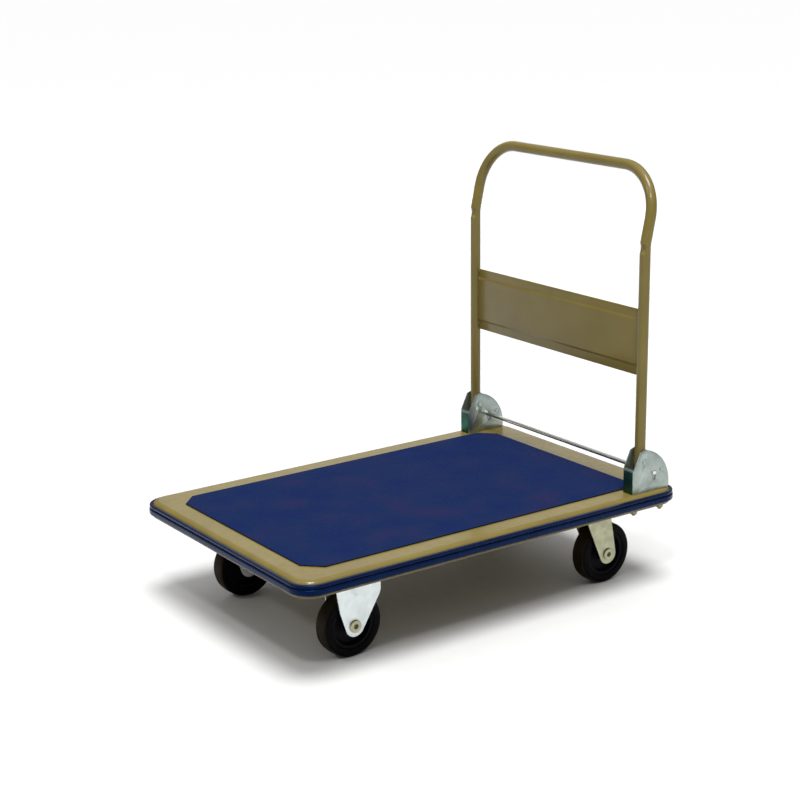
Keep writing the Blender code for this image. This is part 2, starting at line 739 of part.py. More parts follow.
def make_axle(name, place, carrier):
    """The bolt, nut and bush that carry a wheel between a fork's legs."""
    bush = BUSH_DIAMETER / 2
    bore = AXLE_DIAMETER / 2 + FIT
    half_bush = FORK_INSIDE - FIT
    profile = [(bore, -half_bush), (bush, -half_bush), (bush, half_bush), (bore, half_bush)]
    shape = turned("Y", profile, place)
    add_piece(name + "_wheel_bush", shape, "bare_steel", carrier)
    face = FORK_OUTSIDE + FIT
    nut_height = AXLE_DIAMETER * NUT_PER_DIAMETER
    outward = -1 if "left" in name else 1
    head = AXLE_HEAD_DIAMETER / 2
    head_end = face + AXLE_HEAD_HEIGHT
    levels = [
        (AXLE_DIAMETER / 2, -face - nut_height - AXLE_TAIL), (AXLE_DIAMETER / 2, face),
        (head, face), (head, head_end - AXLE_HEAD_BEVEL), (head - AXLE_HEAD_BEVEL, head_end),
    ]
    levels = [(radius, outward * along) for radius, along in levels][::outward]
    add_piece(name + "_axle_bolt", stacked("Y", levels, place), "bright_zinc", carrier)
    name += "_axle_nut"
    make_nut(name, "Y", place, -outward * face, -outward, AXLE_DIAMETER, nut_height, carrier)


def leg_outline(axle, front, back):
    """A leg between two flanks, each listed downward, with a round tip about the axle."""
    def tangent_angle(corner, side):
        away = math.hypot(corner[0] - axle[0], corner[1] - axle[1])
        toward = math.atan2(corner[1] - axle[1], corner[0] - axle[0])
        return toward + side * math.acos(FORK_TIP_RADIUS / away)

    start = tangent_angle(front[-1], 1.0)
    end = tangent_angle(back[-1], -1.0) + 2 * math.pi
    return front + arc(axle, FORK_TIP_RADIUS, start, end, 10) + back[::-1]


def add_legs(fork, outline, axle):
    """Weld both legs to a crown and bore them for the axle."""
    for label, sign in (("leg", -1), ("other_leg", 1)):
        low, high = sorted((sign * FORK_INSIDE, sign * FORK_OUTSIDE))
        weld(fork, prism("Y", outline, low, high), label)
    hole = circle(AXLE_DIAMETER / 2 + FIT, axle)
    cut(fork, prism("Y", hole, -2 * FORK_OUTSIDE, 2 * FORK_OUTSIDE), "axle_hole")


def make_fixed_castor(side, sign):
    place = (FRONT_AXLE_X, sign * CASTOR_SPACING / 2, 0.0)
    carrier = add_axis(f"front_{side}_castor_axis", place)
    name = "front_" + side
    axle = (0.0, WHEEL_RADIUS)
    half_length, half_width = PLATE_LENGTH / 2, PLATE_WIDTH / 2
    middle = FRONT_PLATE_X - FRONT_AXLE_X
    low = (middle - half_length, -half_width, PLATE_UNDERSIDE)
    plate = box(low, (middle + half_length, half_width, PLATE_TOP))
    fork = add_piece(name + "_fork", plate, "bright_zinc", carrier)
    top = PLATE_UNDERSIDE + PLATE_THICKNESS / 2
    front = [(-FIXED_FORK_FRONT, top), (-FRONT_KNEE_REACH, WHEEL_RADIUS + FRONT_KNEE_RISE)]
    back = [(FIXED_FORK_BACK, top), (FIXED_FORK_BACK, WHEEL_RADIUS + BACK_KNEE_RISE)]
    add_legs(fork, leg_outline(axle, front, back), axle)
    make_axle(name, axle, carrier)
    wheel = add_axis(name + "_wheel_axis", (0.0, 0.0, WHEEL_RADIUS), carrier)
    make_wheel(name, wheel)


def make_swivel_castor(side, sign):
    place = (SWIVEL_X, sign * CASTOR_SPACING / 2, 0.0)
    carrier = add_axis(f"rear_{side}_castor_axis", place)
    name = "rear_" + side
    half_length, half_width = PLATE_LENGTH / 2, PLATE_WIDTH / 2
    low = (-half_length, -half_width, PLATE_UNDERSIDE)
    shape = box(low, (half_length, half_width, PLATE_TOP))
    plate = add_piece(name + "_top_plate", shape, "bright_zinc", carrier)
    bore = circle(KINGPIN_DIAMETER / 2 + FIT)
    cut(plate, prism("Z", bore, PLATE_UNDERSIDE / 2, 2 * PLATE_TOP), "kingpin_hole")

    race_top = PLATE_UNDERSIDE - FIT
    race_bottom = race_top - RACE_HEIGHT
    race = RACE_DIAMETER / 2
    race_bore = RACE_BORE / 2
    profile = [
        (race_bore, race_bottom), (race - RACE_BEVEL, race_bottom),
        (race, race_bottom + RACE_BEVEL), (race, race_top - RACE_BEVEL),
        (race - RACE_BEVEL, race_top), (race_bore, race_top),
    ]
    shape = turned("Z", profile, sides=HUB_SIDES)
    add_piece(name + "_ball_race", shape, "bright_zinc", carrier)

    crown_bottom = CROWN_TOP - FORK_SHEET
    pin = KINGPIN_DIAMETER / 2
    head = KINGPIN_HEAD_DIAMETER / 2
    head_top = crown_bottom - FIT
    levels = [
        (head - KINGPIN_HEAD_BEVEL, head_top - KINGPIN_HEAD_HEIGHT),
        (head, head_top - KINGPIN_HEAD_HEIGHT + KINGPIN_HEAD_BEVEL),
        (head, head_top),
        (pin, head_top),
        (pin, PLATE_TOP - FIT),
    ]
    add_piece(name + "_kingpin", stacked("Z", levels), "bright_zinc", carrier)

    swivel = add_axis(name + "_swivel_axis", (0.0, 0.0, 0.0), carrier)
    crown = box(
        (-SWIVEL_FORK_FRONT, -FORK_OUTSIDE, crown_bottom),
        (SWIVEL_FORK_BACK, FORK_OUTSIDE, CROWN_TOP),
    )
    fork = add_piece(name + "_fork", crown, "bright_zinc", swivel)
    disc = circle(RACE_DIAMETER / 2, sides=HUB_SIDES)
    disc_low = crown_bottom + CROWN_DISC_INSET
    weld(fork, prism("Z", disc, disc_low, CROWN_TOP - CROWN_DISC_INSET), "crown_disc")
    axle = (SWIVEL_TRAIL, WHEEL_RADIUS)
    top = crown_bottom + FORK_SHEET / 2
    outline = leg_outline(axle, [(-SWIVEL_FORK_FRONT, top)], [(SWIVEL_FORK_BACK, top)])
    add_legs(fork, outline, axle)
    hole = circle(pin + FIT)
    cut(fork, prism("Z", hole, crown_bottom - FORK_SHEET, CROWN_TOP + FORK_SHEET), "kingpin_hole")
    make_axle(name, axle, swivel)
    wheel = add_axis(name + "_wheel_axis", (SWIVEL_TRAIL, 0.0, WHEEL_RADIUS), swivel)
    make_wheel(name, wheel)


def main():
    clear_scene()
    make_deck_pan()
    make_deck_mat()
    make_edge_bumper()
    make_under_frame()
    for side, sign in SIDES:
        middle = sign * HANDLE_SPACING / 2
        make_bracket(side, middle)
        make_bracket_fasteners(side, middle)
        pivot = (HANDLE_X, PIVOT_Z)
        riveted_pin(side + "_pivot_pin", pivot, middle, PIVOT_DIAMETER, PIN_HEAD_DIAMETER)
        place = spring_pin_place()
        riveted_pin(side + "_spring_pin", place, middle, SPRING_PIN_DIAMETER, SPRING_PIN_HEAD)
        make_lock_spring(side, middle)
        make_fixed_castor(side, sign)
        make_swivel_castor(side, sign)
    make_handle(add_axis("handle_pivot_axis", (HANDLE_X, 0.0, PIVOT_Z)))
    make_lock_bar(add_axis("lock_bar_axis", (LOCK_BAR_X, 0.0, LOCK_BAR_Z)))
    bpy.context.view_layer.update()


main()
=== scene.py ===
import json
import math

import bmesh
import bpy
from mathutils import Matrix, Vector


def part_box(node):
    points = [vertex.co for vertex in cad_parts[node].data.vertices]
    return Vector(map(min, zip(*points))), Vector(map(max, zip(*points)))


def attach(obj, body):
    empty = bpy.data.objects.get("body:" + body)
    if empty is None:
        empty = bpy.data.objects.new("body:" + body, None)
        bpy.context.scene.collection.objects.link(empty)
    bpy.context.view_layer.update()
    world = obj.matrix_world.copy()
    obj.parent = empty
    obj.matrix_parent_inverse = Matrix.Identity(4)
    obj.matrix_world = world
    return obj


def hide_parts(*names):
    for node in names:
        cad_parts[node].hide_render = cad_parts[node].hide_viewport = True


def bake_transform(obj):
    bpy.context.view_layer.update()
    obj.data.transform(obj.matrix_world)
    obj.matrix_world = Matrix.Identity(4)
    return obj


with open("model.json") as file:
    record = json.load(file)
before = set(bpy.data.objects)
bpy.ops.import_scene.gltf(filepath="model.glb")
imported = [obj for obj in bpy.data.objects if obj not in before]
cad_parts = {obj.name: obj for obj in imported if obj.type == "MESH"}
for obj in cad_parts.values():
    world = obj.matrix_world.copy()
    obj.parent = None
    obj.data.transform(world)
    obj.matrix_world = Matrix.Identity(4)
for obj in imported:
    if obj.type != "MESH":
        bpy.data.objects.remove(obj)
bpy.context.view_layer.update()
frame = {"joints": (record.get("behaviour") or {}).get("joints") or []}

# The push handle stands at +X and left is -Y.  All lengths are metres.
fitGap = 0.0003  # between pieces that seat on each other
sides = (("left", -1), ("right", 1))


def span(node):
    low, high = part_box(node)
    return low, high, (low + high) / 2


def middleOf(node):
    return span(node)[2]


# left_foot_plug becomes leftFootPlug
def pieceName(node):
    first, *others = node.split("_")
    return first + "".join(word.capitalize() for word in others)


# ---- node trees and materials

# sRGB hex to the linear values of a colour socket
def hexColour(code):
    channels = [int(code[start:start + 2], 16) / 255 for start in (1, 3, 5)]
    linear = [c / 12.92 if c <= 0.04045 else ((c + 0.055) / 1.055) ** 2.4 for c in channels]
    return (*linear, 1.0)


# a texture's scale when one repeat is this many millimetres
def perMillimetre(size):
    return 1000.0 / size


# settings are the node's own properties, and inputs are values or the sockets to link
def addNode(tree, kind, settings=None, inputs=None, stops=()):
    node = tree.nodes.new(kind)
    for name, value in (settings or {}).items():
        setattr(node, name, value)
    for name, value in (inputs or {}).items():
        if isinstance(value, bpy.types.NodeSocket):
            tree.links.new(value, node.inputs[name])
        else:
            node.inputs[name].default_value = value
    for index, (position, code) in enumerate(stops):
        elements = node.color_ramp.elements
        element = elements[index] if index < 2 else elements.new(position)
        element.position = position
        element.color = hexColour(code)
    return node


def calculate(tree, operation, first, second):
    inputs = {0: first, 1: second}
    return addNode(tree, "ShaderNodeMath", {"operation": operation}, inputs).outputs[0]


def noise(tree, place, size, detail=3.0, stretch=None):
    if stretch:
        mapping = addNode(tree, "ShaderNodeMapping", inputs={"Vector": place, "Scale": stretch})
        place = mapping.outputs["Vector"]
    inputs = {"Vector": place, "Scale": perMillimetre(size), "Detail": detail}
    return addNode(tree, "ShaderNodeTexNoise", inputs=inputs).outputs["Fac"]


# shade is the size, detail and stretch of a noise; gloss has the least and greatest roughness
# before those, and relief has its height
def grained(name, shade, dark, light, gloss=None, relief=None, middle=(), **constants):
    material = bpy.data.materials.new(name)
    material.use_nodes = True
    tree = material.node_tree
    tree.nodes.clear()
    inputs = {key.replace("_", " "): value for key, value in constants.items()}
    shader = addNode(tree, "ShaderNodeBsdfPrincipled", inputs=inputs)
    addNode(tree, "ShaderNodeOutputMaterial", inputs={"Surface": shader.outputs["BSDF"]})
    place = addNode(tree, "ShaderNodeTexCoord").outputs["Object"]
    ramp = addNode(tree, "ShaderNodeValToRGB", inputs={"Fac": noise(tree, place, *shade)},
                   stops=(dark, *middle, light))
    tree.links.new(ramp.outputs["Color"], shader.inputs["Base Color"])
    if gloss:
        low, high, *pattern = gloss
        spread = addNode(tree, "ShaderNodeMapRange", inputs={
            "Value": noise(tree, place, *pattern), "From Min": 0.3, "From Max": 0.7,
            "To Min": low, "To Max": high})
        tree.links.new(spread.outputs["Result"], shader.inputs["Roughness"])
    if relief:
        height, *pattern = relief
        bump = addNode(tree, "ShaderNodeBump", inputs={
            "Height": noise(tree, place, *pattern), "Distance": height, "Strength": 1.0})
        tree.links.new(bump.outputs["Normal"], shader.inputs["Normal"])
    return material


# Sheet steel with a passivated zinc plating: cloudy, silvery and a little uneven in gloss.
def platedSheet(name, dark, light, low, high):
    return grained(name, (22.0, 5.0), (0.3, dark), (0.7, light), (low, high, 7.0),
                   (0.00004, 1.5, 3.0, (1.0, 1.0, 0.25)), Metallic=1.0)


# Turned or drawn steel: fine rings or lines round the piece and a bright, even gloss.
def turnedSteel(name, dark, light, low, high, stretch):
    lines = (1.2, 3.0, stretch)
    return grained(name, lines, (0.3, dark), (0.7, light), (low, high, *lines), (0.00003, *lines),
                   Metallic=1.0)


# Solid black rubber, matt; the tread's browner colour is a painted reflection of warm light.
def tyreRubber(name, dark, light):
    return grained(name, (26.0, 5.0), (0.35, dark), (0.75, light), (0.42, 0.62, 8.0),
                   (0.0001, 1.3, 2.0), IOR=1.52, Specular_IOR_Level=0.05)


# Moulded black plastic: even colour, fine spark-eroded grain.
def mouldedPlastic(name, dark, light, low, high):
    return grained(name, (18.0,), (0.3, dark), (0.7, light), (low, high, 5.0),
                   (0.00006, 1.2, 2.0), IOR=1.53, Specular_IOR_Level=0.08)


# Sprayed khaki stoving enamel: a soft gloss with faint orange peel and slow changes of shade.
khaki = grained("khakiStovingEnamel", (90.0, 4.0), (0.3, "#675a29"), (0.7, "#70632f"),
                (0.3, 0.42, 14.0), (0.00006, 2.4, 2.0), IOR=1.5, Specular_IOR_Level=0.2,
                Coat_Weight=0.3, Coat_Roughness=0.12)
# Calendered vinyl matting: ink-blue with purple clouds where feet and loads have rubbed it.
vinyl = grained("embossedMatVinyl", (110.0, 6.0), (0.32, "#0e1c46"), (0.68, "#1c2043"),
                (0.76, 0.9, 9.0), (0.00008, 1.6, 2.0), [(0.5, "#112044")],
                IOR=1.5, Specular_IOR_Level=0.04)
# The cut edge of the mat: nearly black, a painted shade line where the mat meets the rim.
matEdgeShade = grained("paintedShadeMatEdge", (12.0,), (0.3, "#0b0d17"), (0.7, "#14151f"),
                  (0.7, 0.85, 5.0), (0.00006, 1.2), IOR=1.5, Specular_IOR_Level=0.04)
# Soft extruded PVC: dark navy, smooth and fairly glossy, with faint drawing lines.
pvc = grained("extrudedBumperPvc", (60.0,), (0.3, "#040d29"), (0.7, "#061434"),
              (0.2, 0.3, 12.0), (0.00005, 3.0), IOR=1.53, Specular_IOR_Level=0.3,
              Specular_Tint=hexColour("#3a7cc8"))
brightZinc = platedSheet("bluePassivatedZinc", "#98a39e", "#b0bbb6", 0.34, 0.44)
whiteZinc = platedSheet("freshCastorZinc", "#d6dfdf", "#e8efef", 0.36, 0.48)
yellowZinc = platedSheet("agedCastorZinc", "#a0a087", "#c0bfa1", 0.38, 0.5)
# dark teal zinc used as painted shade on the bracket's web
webShadeZinc = platedSheet("paintedShadeWeb", "#2a5347", "#3a6a59", 0.35, 0.5)
fastenerZinc = platedSheet("oliveFastenerZinc", "#7d775a", "#9c9674", 0.35, 0.5)
# dark olive zinc used as painted shade in the hollow of the axle bolt heads
hollowShadeZinc = platedSheet("paintedShadeHollowZinc", "#4a4834", "#5c5942", 0.45, 0.6)
barSteel = turnedSteel("groundBarSteel", "#d2d2c8", "#ecebe2", 0.16, 0.26, (1.0, 0.05, 1.0))
bushSteel = turnedSteel("turnedBushSteel", "#8d8d8a", "#b0b0ac", 0.28, 0.4, (1.0, 4.0, 1.0))
springSteel = turnedSteel("springWireSteel", "#74746f", "#94948c", 0.3, 0.42, (1.0, 1.0, 4.0))
rubber = tyreRubber("solidTyreRubber", "#020203", "#050506")
# brown tread colour used as a painted reflection of warm light
treadReflectionRubber = tyreRubber("paintedReflectionTreadRubber", "#19130b", "#2c2214")
nylon = mouldedPlastic("blackWheelNylon", "#020308", "#04050c", 0.5, 0.62)
plugPlastic = mouldedPlastic("blackPlugPlastic", "#101010", "#1a1a1a", 0.4, 0.52)
print("materials:", len(bpy.data.materials))


# ---- mesh helpers

# A polygon or line whose corners are (x, y) or (x, y, radius); the rounded ones become arcs.
def filleted(corners, steps=4, ring=True):
    points = []
    last = len(corners) - 1
    for index, corner in enumerate(corners):
        here = Vector(corner[:2])
        if len(corner) < 3 or (not ring and index in (0, last)):
            points.append(tuple(here))
            continue
        radius = corner[2]
        before = (Vector(corners[index - 1][:2]) - here).normalized()
        after = (Vector(corners[(index + 1) % (last + 1)][:2]) - here).normalized()
        half = before.angle(after) / 2
        centre = here + (before + after).normalized() * radius / math.sin(half)
        start = here + before * radius / math.tan(half) - centre
        end = here + after * radius / math.tan(half) - centre
        turn = math.atan2(start.x * end.y - start.y * end.x, start.dot(end))
        for step in range(steps + 1):
            spoke = Matrix.Rotation(turn * step / steps, 2) @ start
            points.append(tuple(centre + spoke))
    return points


def arcPoints(centre, radius, start, end, steps):
    points = []
    for step in range(steps + 1):
        angle = start + (end - start) * step / steps
        points.append((centre[0] + radius * math.cos(angle), centre[1] + radius * math.sin(angle)))
    return points


def circlePoints(centre, radius, count=32):
    return arcPoints(centre, radius, 0.0, 2 * math.pi, count)[:-1]


def axisPoint(axis, first, second, along):
    order = {"X": (along, first, second), "Y": (first, along, second), "Z": (first, second, along)}
    return order[axis]


# Skin over loops of equal length; open skins get flat ends.
def loft(loops, closed=False):
    shape = bmesh.new()
    rings = [[shape.verts.new(point) for point in loop] for loop in loops]
    following = rings[1:] + rings[:1] if closed else rings[1:]
    count = len(rings[0])
    for ring, after in zip(rings, following):
        for index in range(count):
            turn = (index + 1) % count
            shape.faces.new((ring[index], ring[turn], after[turn], after[index]))
    if not closed:
        shape.faces.new(rings[0])
        shape.faces.new(rings[-1])
    bmesh.ops.recalc_face_normals(shape, faces=shape.faces)
    return shape


def slab(axis, outline, low, high):
    return loft([[axisPoint(axis, a, b, along) for a, b in outline] for along in (low, high)])


# A turned piece from (radius, along) points; closed profiles make rings.
def lathe(axis, profile, centre, count=48, closed=False):
    loops = []
    for radius, along in profile:
        loops.append([axisPoint(axis, a, b, along) for a, b in circlePoints(centre, radius, count)])
    return loft(loops, closed)


def joined(shapes):
    whole = bmesh.new()
    for shape in shapes:
        mesh = bpy.data.meshes.new("part")
        shape.to_mesh(mesh)
        whole.from_mesh(mesh)
        shape.free()
        bpy.data.meshes.remove(mesh)
    return whole


def newObject(name, shape):
    mesh = bpy.data.meshes.new(name)
    shape.to_mesh(mesh)
    shape.free()
    piece = bpy.data.objects.new(name, mesh)
    bpy.context.scene.collection.objects.link(piece)
    return piece


# The object as its modifiers show it, as a plain mesh.
def bake(piece):
    bpy.context.view_layer.update()
    evaluated = piece.evaluated_get(bpy.context.evaluated_depsgraph_get())
    mesh = bpy.data.meshes.new_from_object(evaluated)
    piece.modifiers.clear()
    piece.data = mesh
    return piece


def combine(piece, shape, operation):
    other = newObject("tool", shape)
    modifier = piece.modifiers.new("combine", "BOOLEAN")
    modifier.operation = operation
    modifier.solver = "EXACT"
    modifier.object = other
    bake(piece)
    bpy.data.objects.remove(other)
    return piece


def drill(piece, axis, centre, radius, low, high, count=24):
    return combine(piece, slab(axis, circlePoints(centre, radius, count), low, high), "DIFFERENCE")


# A piece turned about Y from half of its profile, which is the same on both sides of its middle.
def evenLathe(name, half, middle, count, closed=True):
    profile = [(radius, middle.y + along) for radius, along in half]
    profile += [(radius, middle.y - along) for radius, along in reversed(half)]
    return newObject(name, lathe("Y", profile, (middle.x, middle.z), count, closed))


def soften(piece, width, segments=2, angle=32.0):
    modifier = piece.modifiers.new("soften", "BEVEL")
    modifier.width = width
    modifier.segments = segments
    modifier.limit_method = "ANGLE"
    modifier.angle_limit = math.radians(angle)
    modifier.miter_outer = "MITER_ARC"
    return bake(piece)


# Gives a finished mesh its material, smooth faces and its body, and hides the CAD nodes that it
# stands for.
def finish(piece, material, body, nodes=(), angle=35.0):
    if material:
        piece.data.materials.clear()
        piece.data.materials.append(material)
    piece.data.shade_smooth()
    piece.data.set_sharp_from_angle(angle=math.radians(angle))
    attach(piece, body)
    if nodes:
        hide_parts(*nodes)
    return piece


# A second material for the faces that a test picks out.
def repaint(piece, material, chosen):
    piece.data.materials.append(material)
    for face in piece.data.polygons:
        if chosen(face):
            face.material_index = len(piece.data.materials) - 1


def makePiece(node, shape, material, body, angle=35.0):
    return finish(newObject(pieceName(node), shape), material, body, [node], angle)


# ---- repeated shapes

# A modifier hands its mesh only to a group whose first input is geometry.
def startTree(name, **kinds):
    tree = bpy.data.node_groups.new(name, "GeometryNodeTree")
    sockets = {}
    for label, kind in {"Geometry": "Geometry", **kinds, "Material": "Material"}.items():
        sockets[label] = tree.interface.new_socket(
            name=label, in_out="INPUT", socket_type="NodeSocket" + kind)
    tree.interface.new_socket(name="Geometry", in_out="OUTPUT", socket_type="NodeSocketGeometry")
    return tree, sockets, addNode(tree, "NodeGroupInput").outputs


def endTree(tree, geometry, material):
    real = addNode(tree, "GeometryNodeRealizeInstances", inputs={"Geometry": geometry})
    painted = addNode(tree, "GeometryNodeSetMaterial", inputs={
        "Geometry": real.outputs["Geometry"], "Material": material})
    addNode(tree, "NodeGroupOutput", inputs={"Geometry": painted.outputs["Geometry"]})


def runTree(piece, tree, sockets, values):
    modifier = piece.modifiers.new("nodes", "NODES")
    modifier.node_group = tree
    for label, value in values.items():
        modifier[sockets[label].identifier] = value
    return bake(piece)


# The tree puts a shape on each point of the mesh it is given, turned as the point says.
def repeatTree():
    tree, sockets, given = startTree("repeatOnPoints", Shape="Object", Variation="Float",
                                     Seed="Int")
    shape = addNode(tree, "GeometryNodeObjectInfo", inputs={"Object": given["Shape"]})
    turn = addNode(tree, "GeometryNodeInputNamedAttribute", {"data_type": "FLOAT_VECTOR"},
                   {"Name": "turn"})
    size = addNode(tree, "FunctionNodeRandomValue", {"data_type": "FLOAT"}, {
        2: calculate(tree, "SUBTRACT", 1.0, given["Variation"]),
        3: calculate(tree, "ADD", 1.0, given["Variation"]), "Seed": given["Seed"]})
    placed = addNode(tree, "GeometryNodeInstanceOnPoints", inputs={
        "Points": given["Geometry"], "Instance": shape.outputs["Geometry"],
        "Rotation": turn.outputs["Attribute"], "Scale": size.outputs[1]})
    endTree(tree, placed.outputs["Instances"], given["Material"])
    return tree, sockets


repeatOnPoints, repeatSockets = repeatTree()


def repeated(name, shape, places, material, variation=0.0, seed=1):
    source = newObject(name + "Shape", shape)
    source.data.shade_smooth()
    source.data.set_sharp_from_angle(angle=math.radians(35.0))
    piece = newObject(name, bmesh.new())
    piece.data.from_pydata([place for place, turn in places], [], [])
    turns = piece.data.attributes.new("turn", "FLOAT_VECTOR", "POINT")
    for index, (place, turn) in enumerate(places):
        turns.data[index].vector = turn
    runTree(piece, repeatOnPoints, repeatSockets, {
        "Shape": source, "Variation": variation, "Seed": seed, "Material": material})
    bpy.data.objects.remove(source)
    return piece


# ---- the deck

deckPan = dict(sheet=0.002, corner=0.040, topRound=0.0115, edgeRound=0.0022, edgeReturn=0.045,
               lidInset=0.014, leastCorner=0.004, cornerSteps=16, holeRadius=0.0043)


def roundedLoop(inset, height, half, corner, least, steps):
    radius = max(corner - inset, least)
    points = []
    for quarter, (signX, signY) in enumerate(((1, 1), (-1, 1), (-1, -1), (1, -1))):
        centre = (signX * (half[0] - inset - radius), signY * (half[1] - inset - radius))
        start = quarter * math.pi / 2
        for x, y in arcPoints(centre, radius, start, start + math.pi / 2, steps):
            points.append((x, y, height))
    return points


def deckLoops(profile):
    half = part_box("deck_pan")[1]
    pan = deckPan
    return [roundedLoop(inset, height, half, pan["corner"], pan["leastCorner"], pan["cornerSteps"])
            for inset, height in profile]


def makeDeckPan():
    low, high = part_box("deck_pan")
    sheet, bottom, top = deckPan["sheet"], low.z, high.z
    rounding, edge, reach = deckPan["topRound"], deckPan["edgeRound"], deckPan["edgeReturn"]
    profile = filleted([
        (deckPan["lidInset"], top), (0.0, top, rounding), (0.0, bottom, edge), (reach, bottom),
        (reach, bottom + sheet), (sheet, bottom + sheet, edge - sheet),
        (sheet, top - sheet, rounding - sheet), (deckPan["lidInset"], top - sheet)], 7, False)
    piece = newObject("deckPan", loft(deckLoops(profile)))
    for side, sign in sides:
        for place in ("front", "rear"):
            bolt = middleOf(f"{side}_bracket_bolt_{place}")
            drill(piece, "Z", bolt.xy, deckPan["holeRadius"], bottom - sheet, top + sheet)
    finish(piece, khaki, "deck", ["deck_pan"])


mat = dict(cornerCut=0.034, cornerRound=0.004, edgeRound=0.0009, studPitch=0.0048,
           studRadius=0.0031, studHeight=0.0004, studInset=0.003, edgeDepth=0.00002)


# Low pyramids stand in slanting rows on the sheet, cut off where the outline is.
def studTree():
    names = ("Length", "Width", "Cut", "Pitch", "Radius", "Height", "Middle", "Top")
    tree, sockets, given = startTree("matStuds", **{name: "Float" for name in names})
    both = calculate(tree, "ADD", given["Length"], given["Width"])
    reach = calculate(tree, "MULTIPLY", both, 1.5)
    count = calculate(tree, "DIVIDE", reach, given["Pitch"])
    grid = addNode(tree, "GeometryNodeMeshGrid", inputs={
        "Size X": reach, "Size Y": reach, "Vertices X": count, "Vertices Y": count})
    slanted = addNode(tree, "GeometryNodeTransform", inputs={
        "Geometry": grid.outputs["Mesh"], "Rotation": (0.0, 0.0, math.pi / 4)})
    position = addNode(tree, "GeometryNodeInputPosition").outputs[0]
    spot = addNode(tree, "ShaderNodeSeparateXYZ", inputs={0: position})
    along = calculate(tree, "ABSOLUTE", spot.outputs["X"], 0.0)
    across = calculate(tree, "ABSOLUTE", spot.outputs["Y"], 0.0)
    outside = calculate(tree, "GREATER_THAN", calculate(tree, "ADD", along, across),
                        calculate(tree, "SUBTRACT", both, given["Cut"]))
    for distance, limit in ((along, given["Length"]), (across, given["Width"])):
        outside = calculate(tree, "MAXIMUM", outside,
                            calculate(tree, "GREATER_THAN", distance, limit))
    kept = addNode(tree, "GeometryNodeDeleteGeometry", {"domain": "POINT"},
                   {"Geometry": slanted.outputs["Geometry"], "Selection": outside})
    stud = addNode(tree, "GeometryNodeMeshCone", inputs={
        "Vertices": 4, "Radius Top": 0.0, "Radius Bottom": given["Radius"],
        "Depth": given["Height"]})
    placed = addNode(tree, "GeometryNodeInstanceOnPoints", inputs={
        "Points": kept.outputs["Geometry"], "Instance": stud.outputs["Mesh"]})
    offset = addNode(tree, "ShaderNodeCombineXYZ", inputs={"X": given["Middle"], "Z": given["Top"]})
    moved = addNode(tree, "GeometryNodeTransform", inputs={
        "Geometry": placed.outputs["Instances"], "Translation": offset.outputs[0]})
    whole = addNode(tree, "GeometryNodeJoinGeometry")
    tree.links.new(given["Geometry"], whole.inputs["Geometry"])
    tree.links.new(moved.outputs["Geometry"], whole.inputs["Geometry"])
    endTree(tree, whole.outputs["Geometry"], given["Material"])
    return tree, sockets


def makeMat():
    low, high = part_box("deck_mat")
    cutOff, bend = mat["cornerCut"], mat["cornerRound"]
    outline = []
    for signX, signY in ((1, 1), (-1, 1), (-1, -1), (1, -1)):
        x, y = (high.x if signX > 0 else low.x), signY * high.y
        corner = [(x, y - signY * cutOff, bend), (x - signX * cutOff, y, bend)]
        outline += corner if signX * signY > 0 else corner[::-1]
    piece = newObject("deckMat", slab("Z", filleted(outline, 5), low.z, high.z))
    soften(piece, mat["edgeRound"], 3, 60.0)
    runTree(piece, *studTree(), {
        "Length": (high.x - low.x) / 2 - mat["studInset"], "Width": high.y - mat["studInset"],
        "Cut": cutOff, "Pitch": mat["studPitch"], "Radius": mat["studRadius"],
        "Height": mat["studHeight"], "Middle": (low.x + high.x) / 2, "Top": high.z,
        "Material": vinyl})
    finish(piece, None, "deck", ["deck_mat"], 20.0)
    # the sides and rounded edge of the mat are painted near-black: painted shade
    repaint(piece, matEdgeShade, lambda face: face.center.z < high.z - mat["edgeDepth"])


# (outward share, downward share, rounding): a bead, a groove and a deeper bead
bumper = dict(rounded=((0.0, 0.0), (0.86, 0.015, 0.0022), (0.86, 0.27, 0.0018),
                       (0.3, 0.335, 0.0006), (1.0, 0.41, 0.0024), (1.0, 0.86, 0.0028),
                       (0.35, 1.0, 0.0012), (0.0, 1.0)))


def makeBumper():
    low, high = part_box("edge_bumper")
    bulge = high.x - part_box("deck_pan")[1].x - fitGap
    corners = []
    for outward, downward, *rounding in bumper["rounded"]:
        corners.append((-fitGap - bulge * outward, high.z - (high.z - low.z) * downward, *rounding))
    profile = filleted(corners, 5)
    makePiece("edge_bumper", loft(deckLoops(profile), closed=True), pvc, "deck")


trough = dict(sheet=0.002, bend=0.005, weldPitch=0.12, weldLength=0.03)


# A folded trough, open at the top, that runs along X or Y between its node's ends.
def makeTrough(node, axis):
    low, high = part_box(node)
    across = 1 if axis == "X" else 0
    along = 1 - across
    left, right, sheet, bend = low[across], high[across], trough["sheet"], trough["bend"]
    outline = filleted([
        (left, high.z), (left, low.z, bend), (right, low.z, bend), (right, high.z),
        (right - sheet, high.z), (right - sheet, low.z + sheet, bend - sheet),
        (left + sheet, low.z + sheet, bend - sheet), (left + sheet, high.z)])
    piece = newObject(pieceName(node), slab(axis, outline, low[along], high[along]))
    soften(piece, 0.0003, 2, 60.0)
    finish(piece, khaki, "deck", [node])


def beadShape(radius, flatness):
    shape = bmesh.new()
    bmesh.ops.create_icosphere(shape, subdivisions=1, radius=radius,
                               matrix=Matrix.Diagonal((1.0, 1.0, flatness, 1.0)))
    return shape


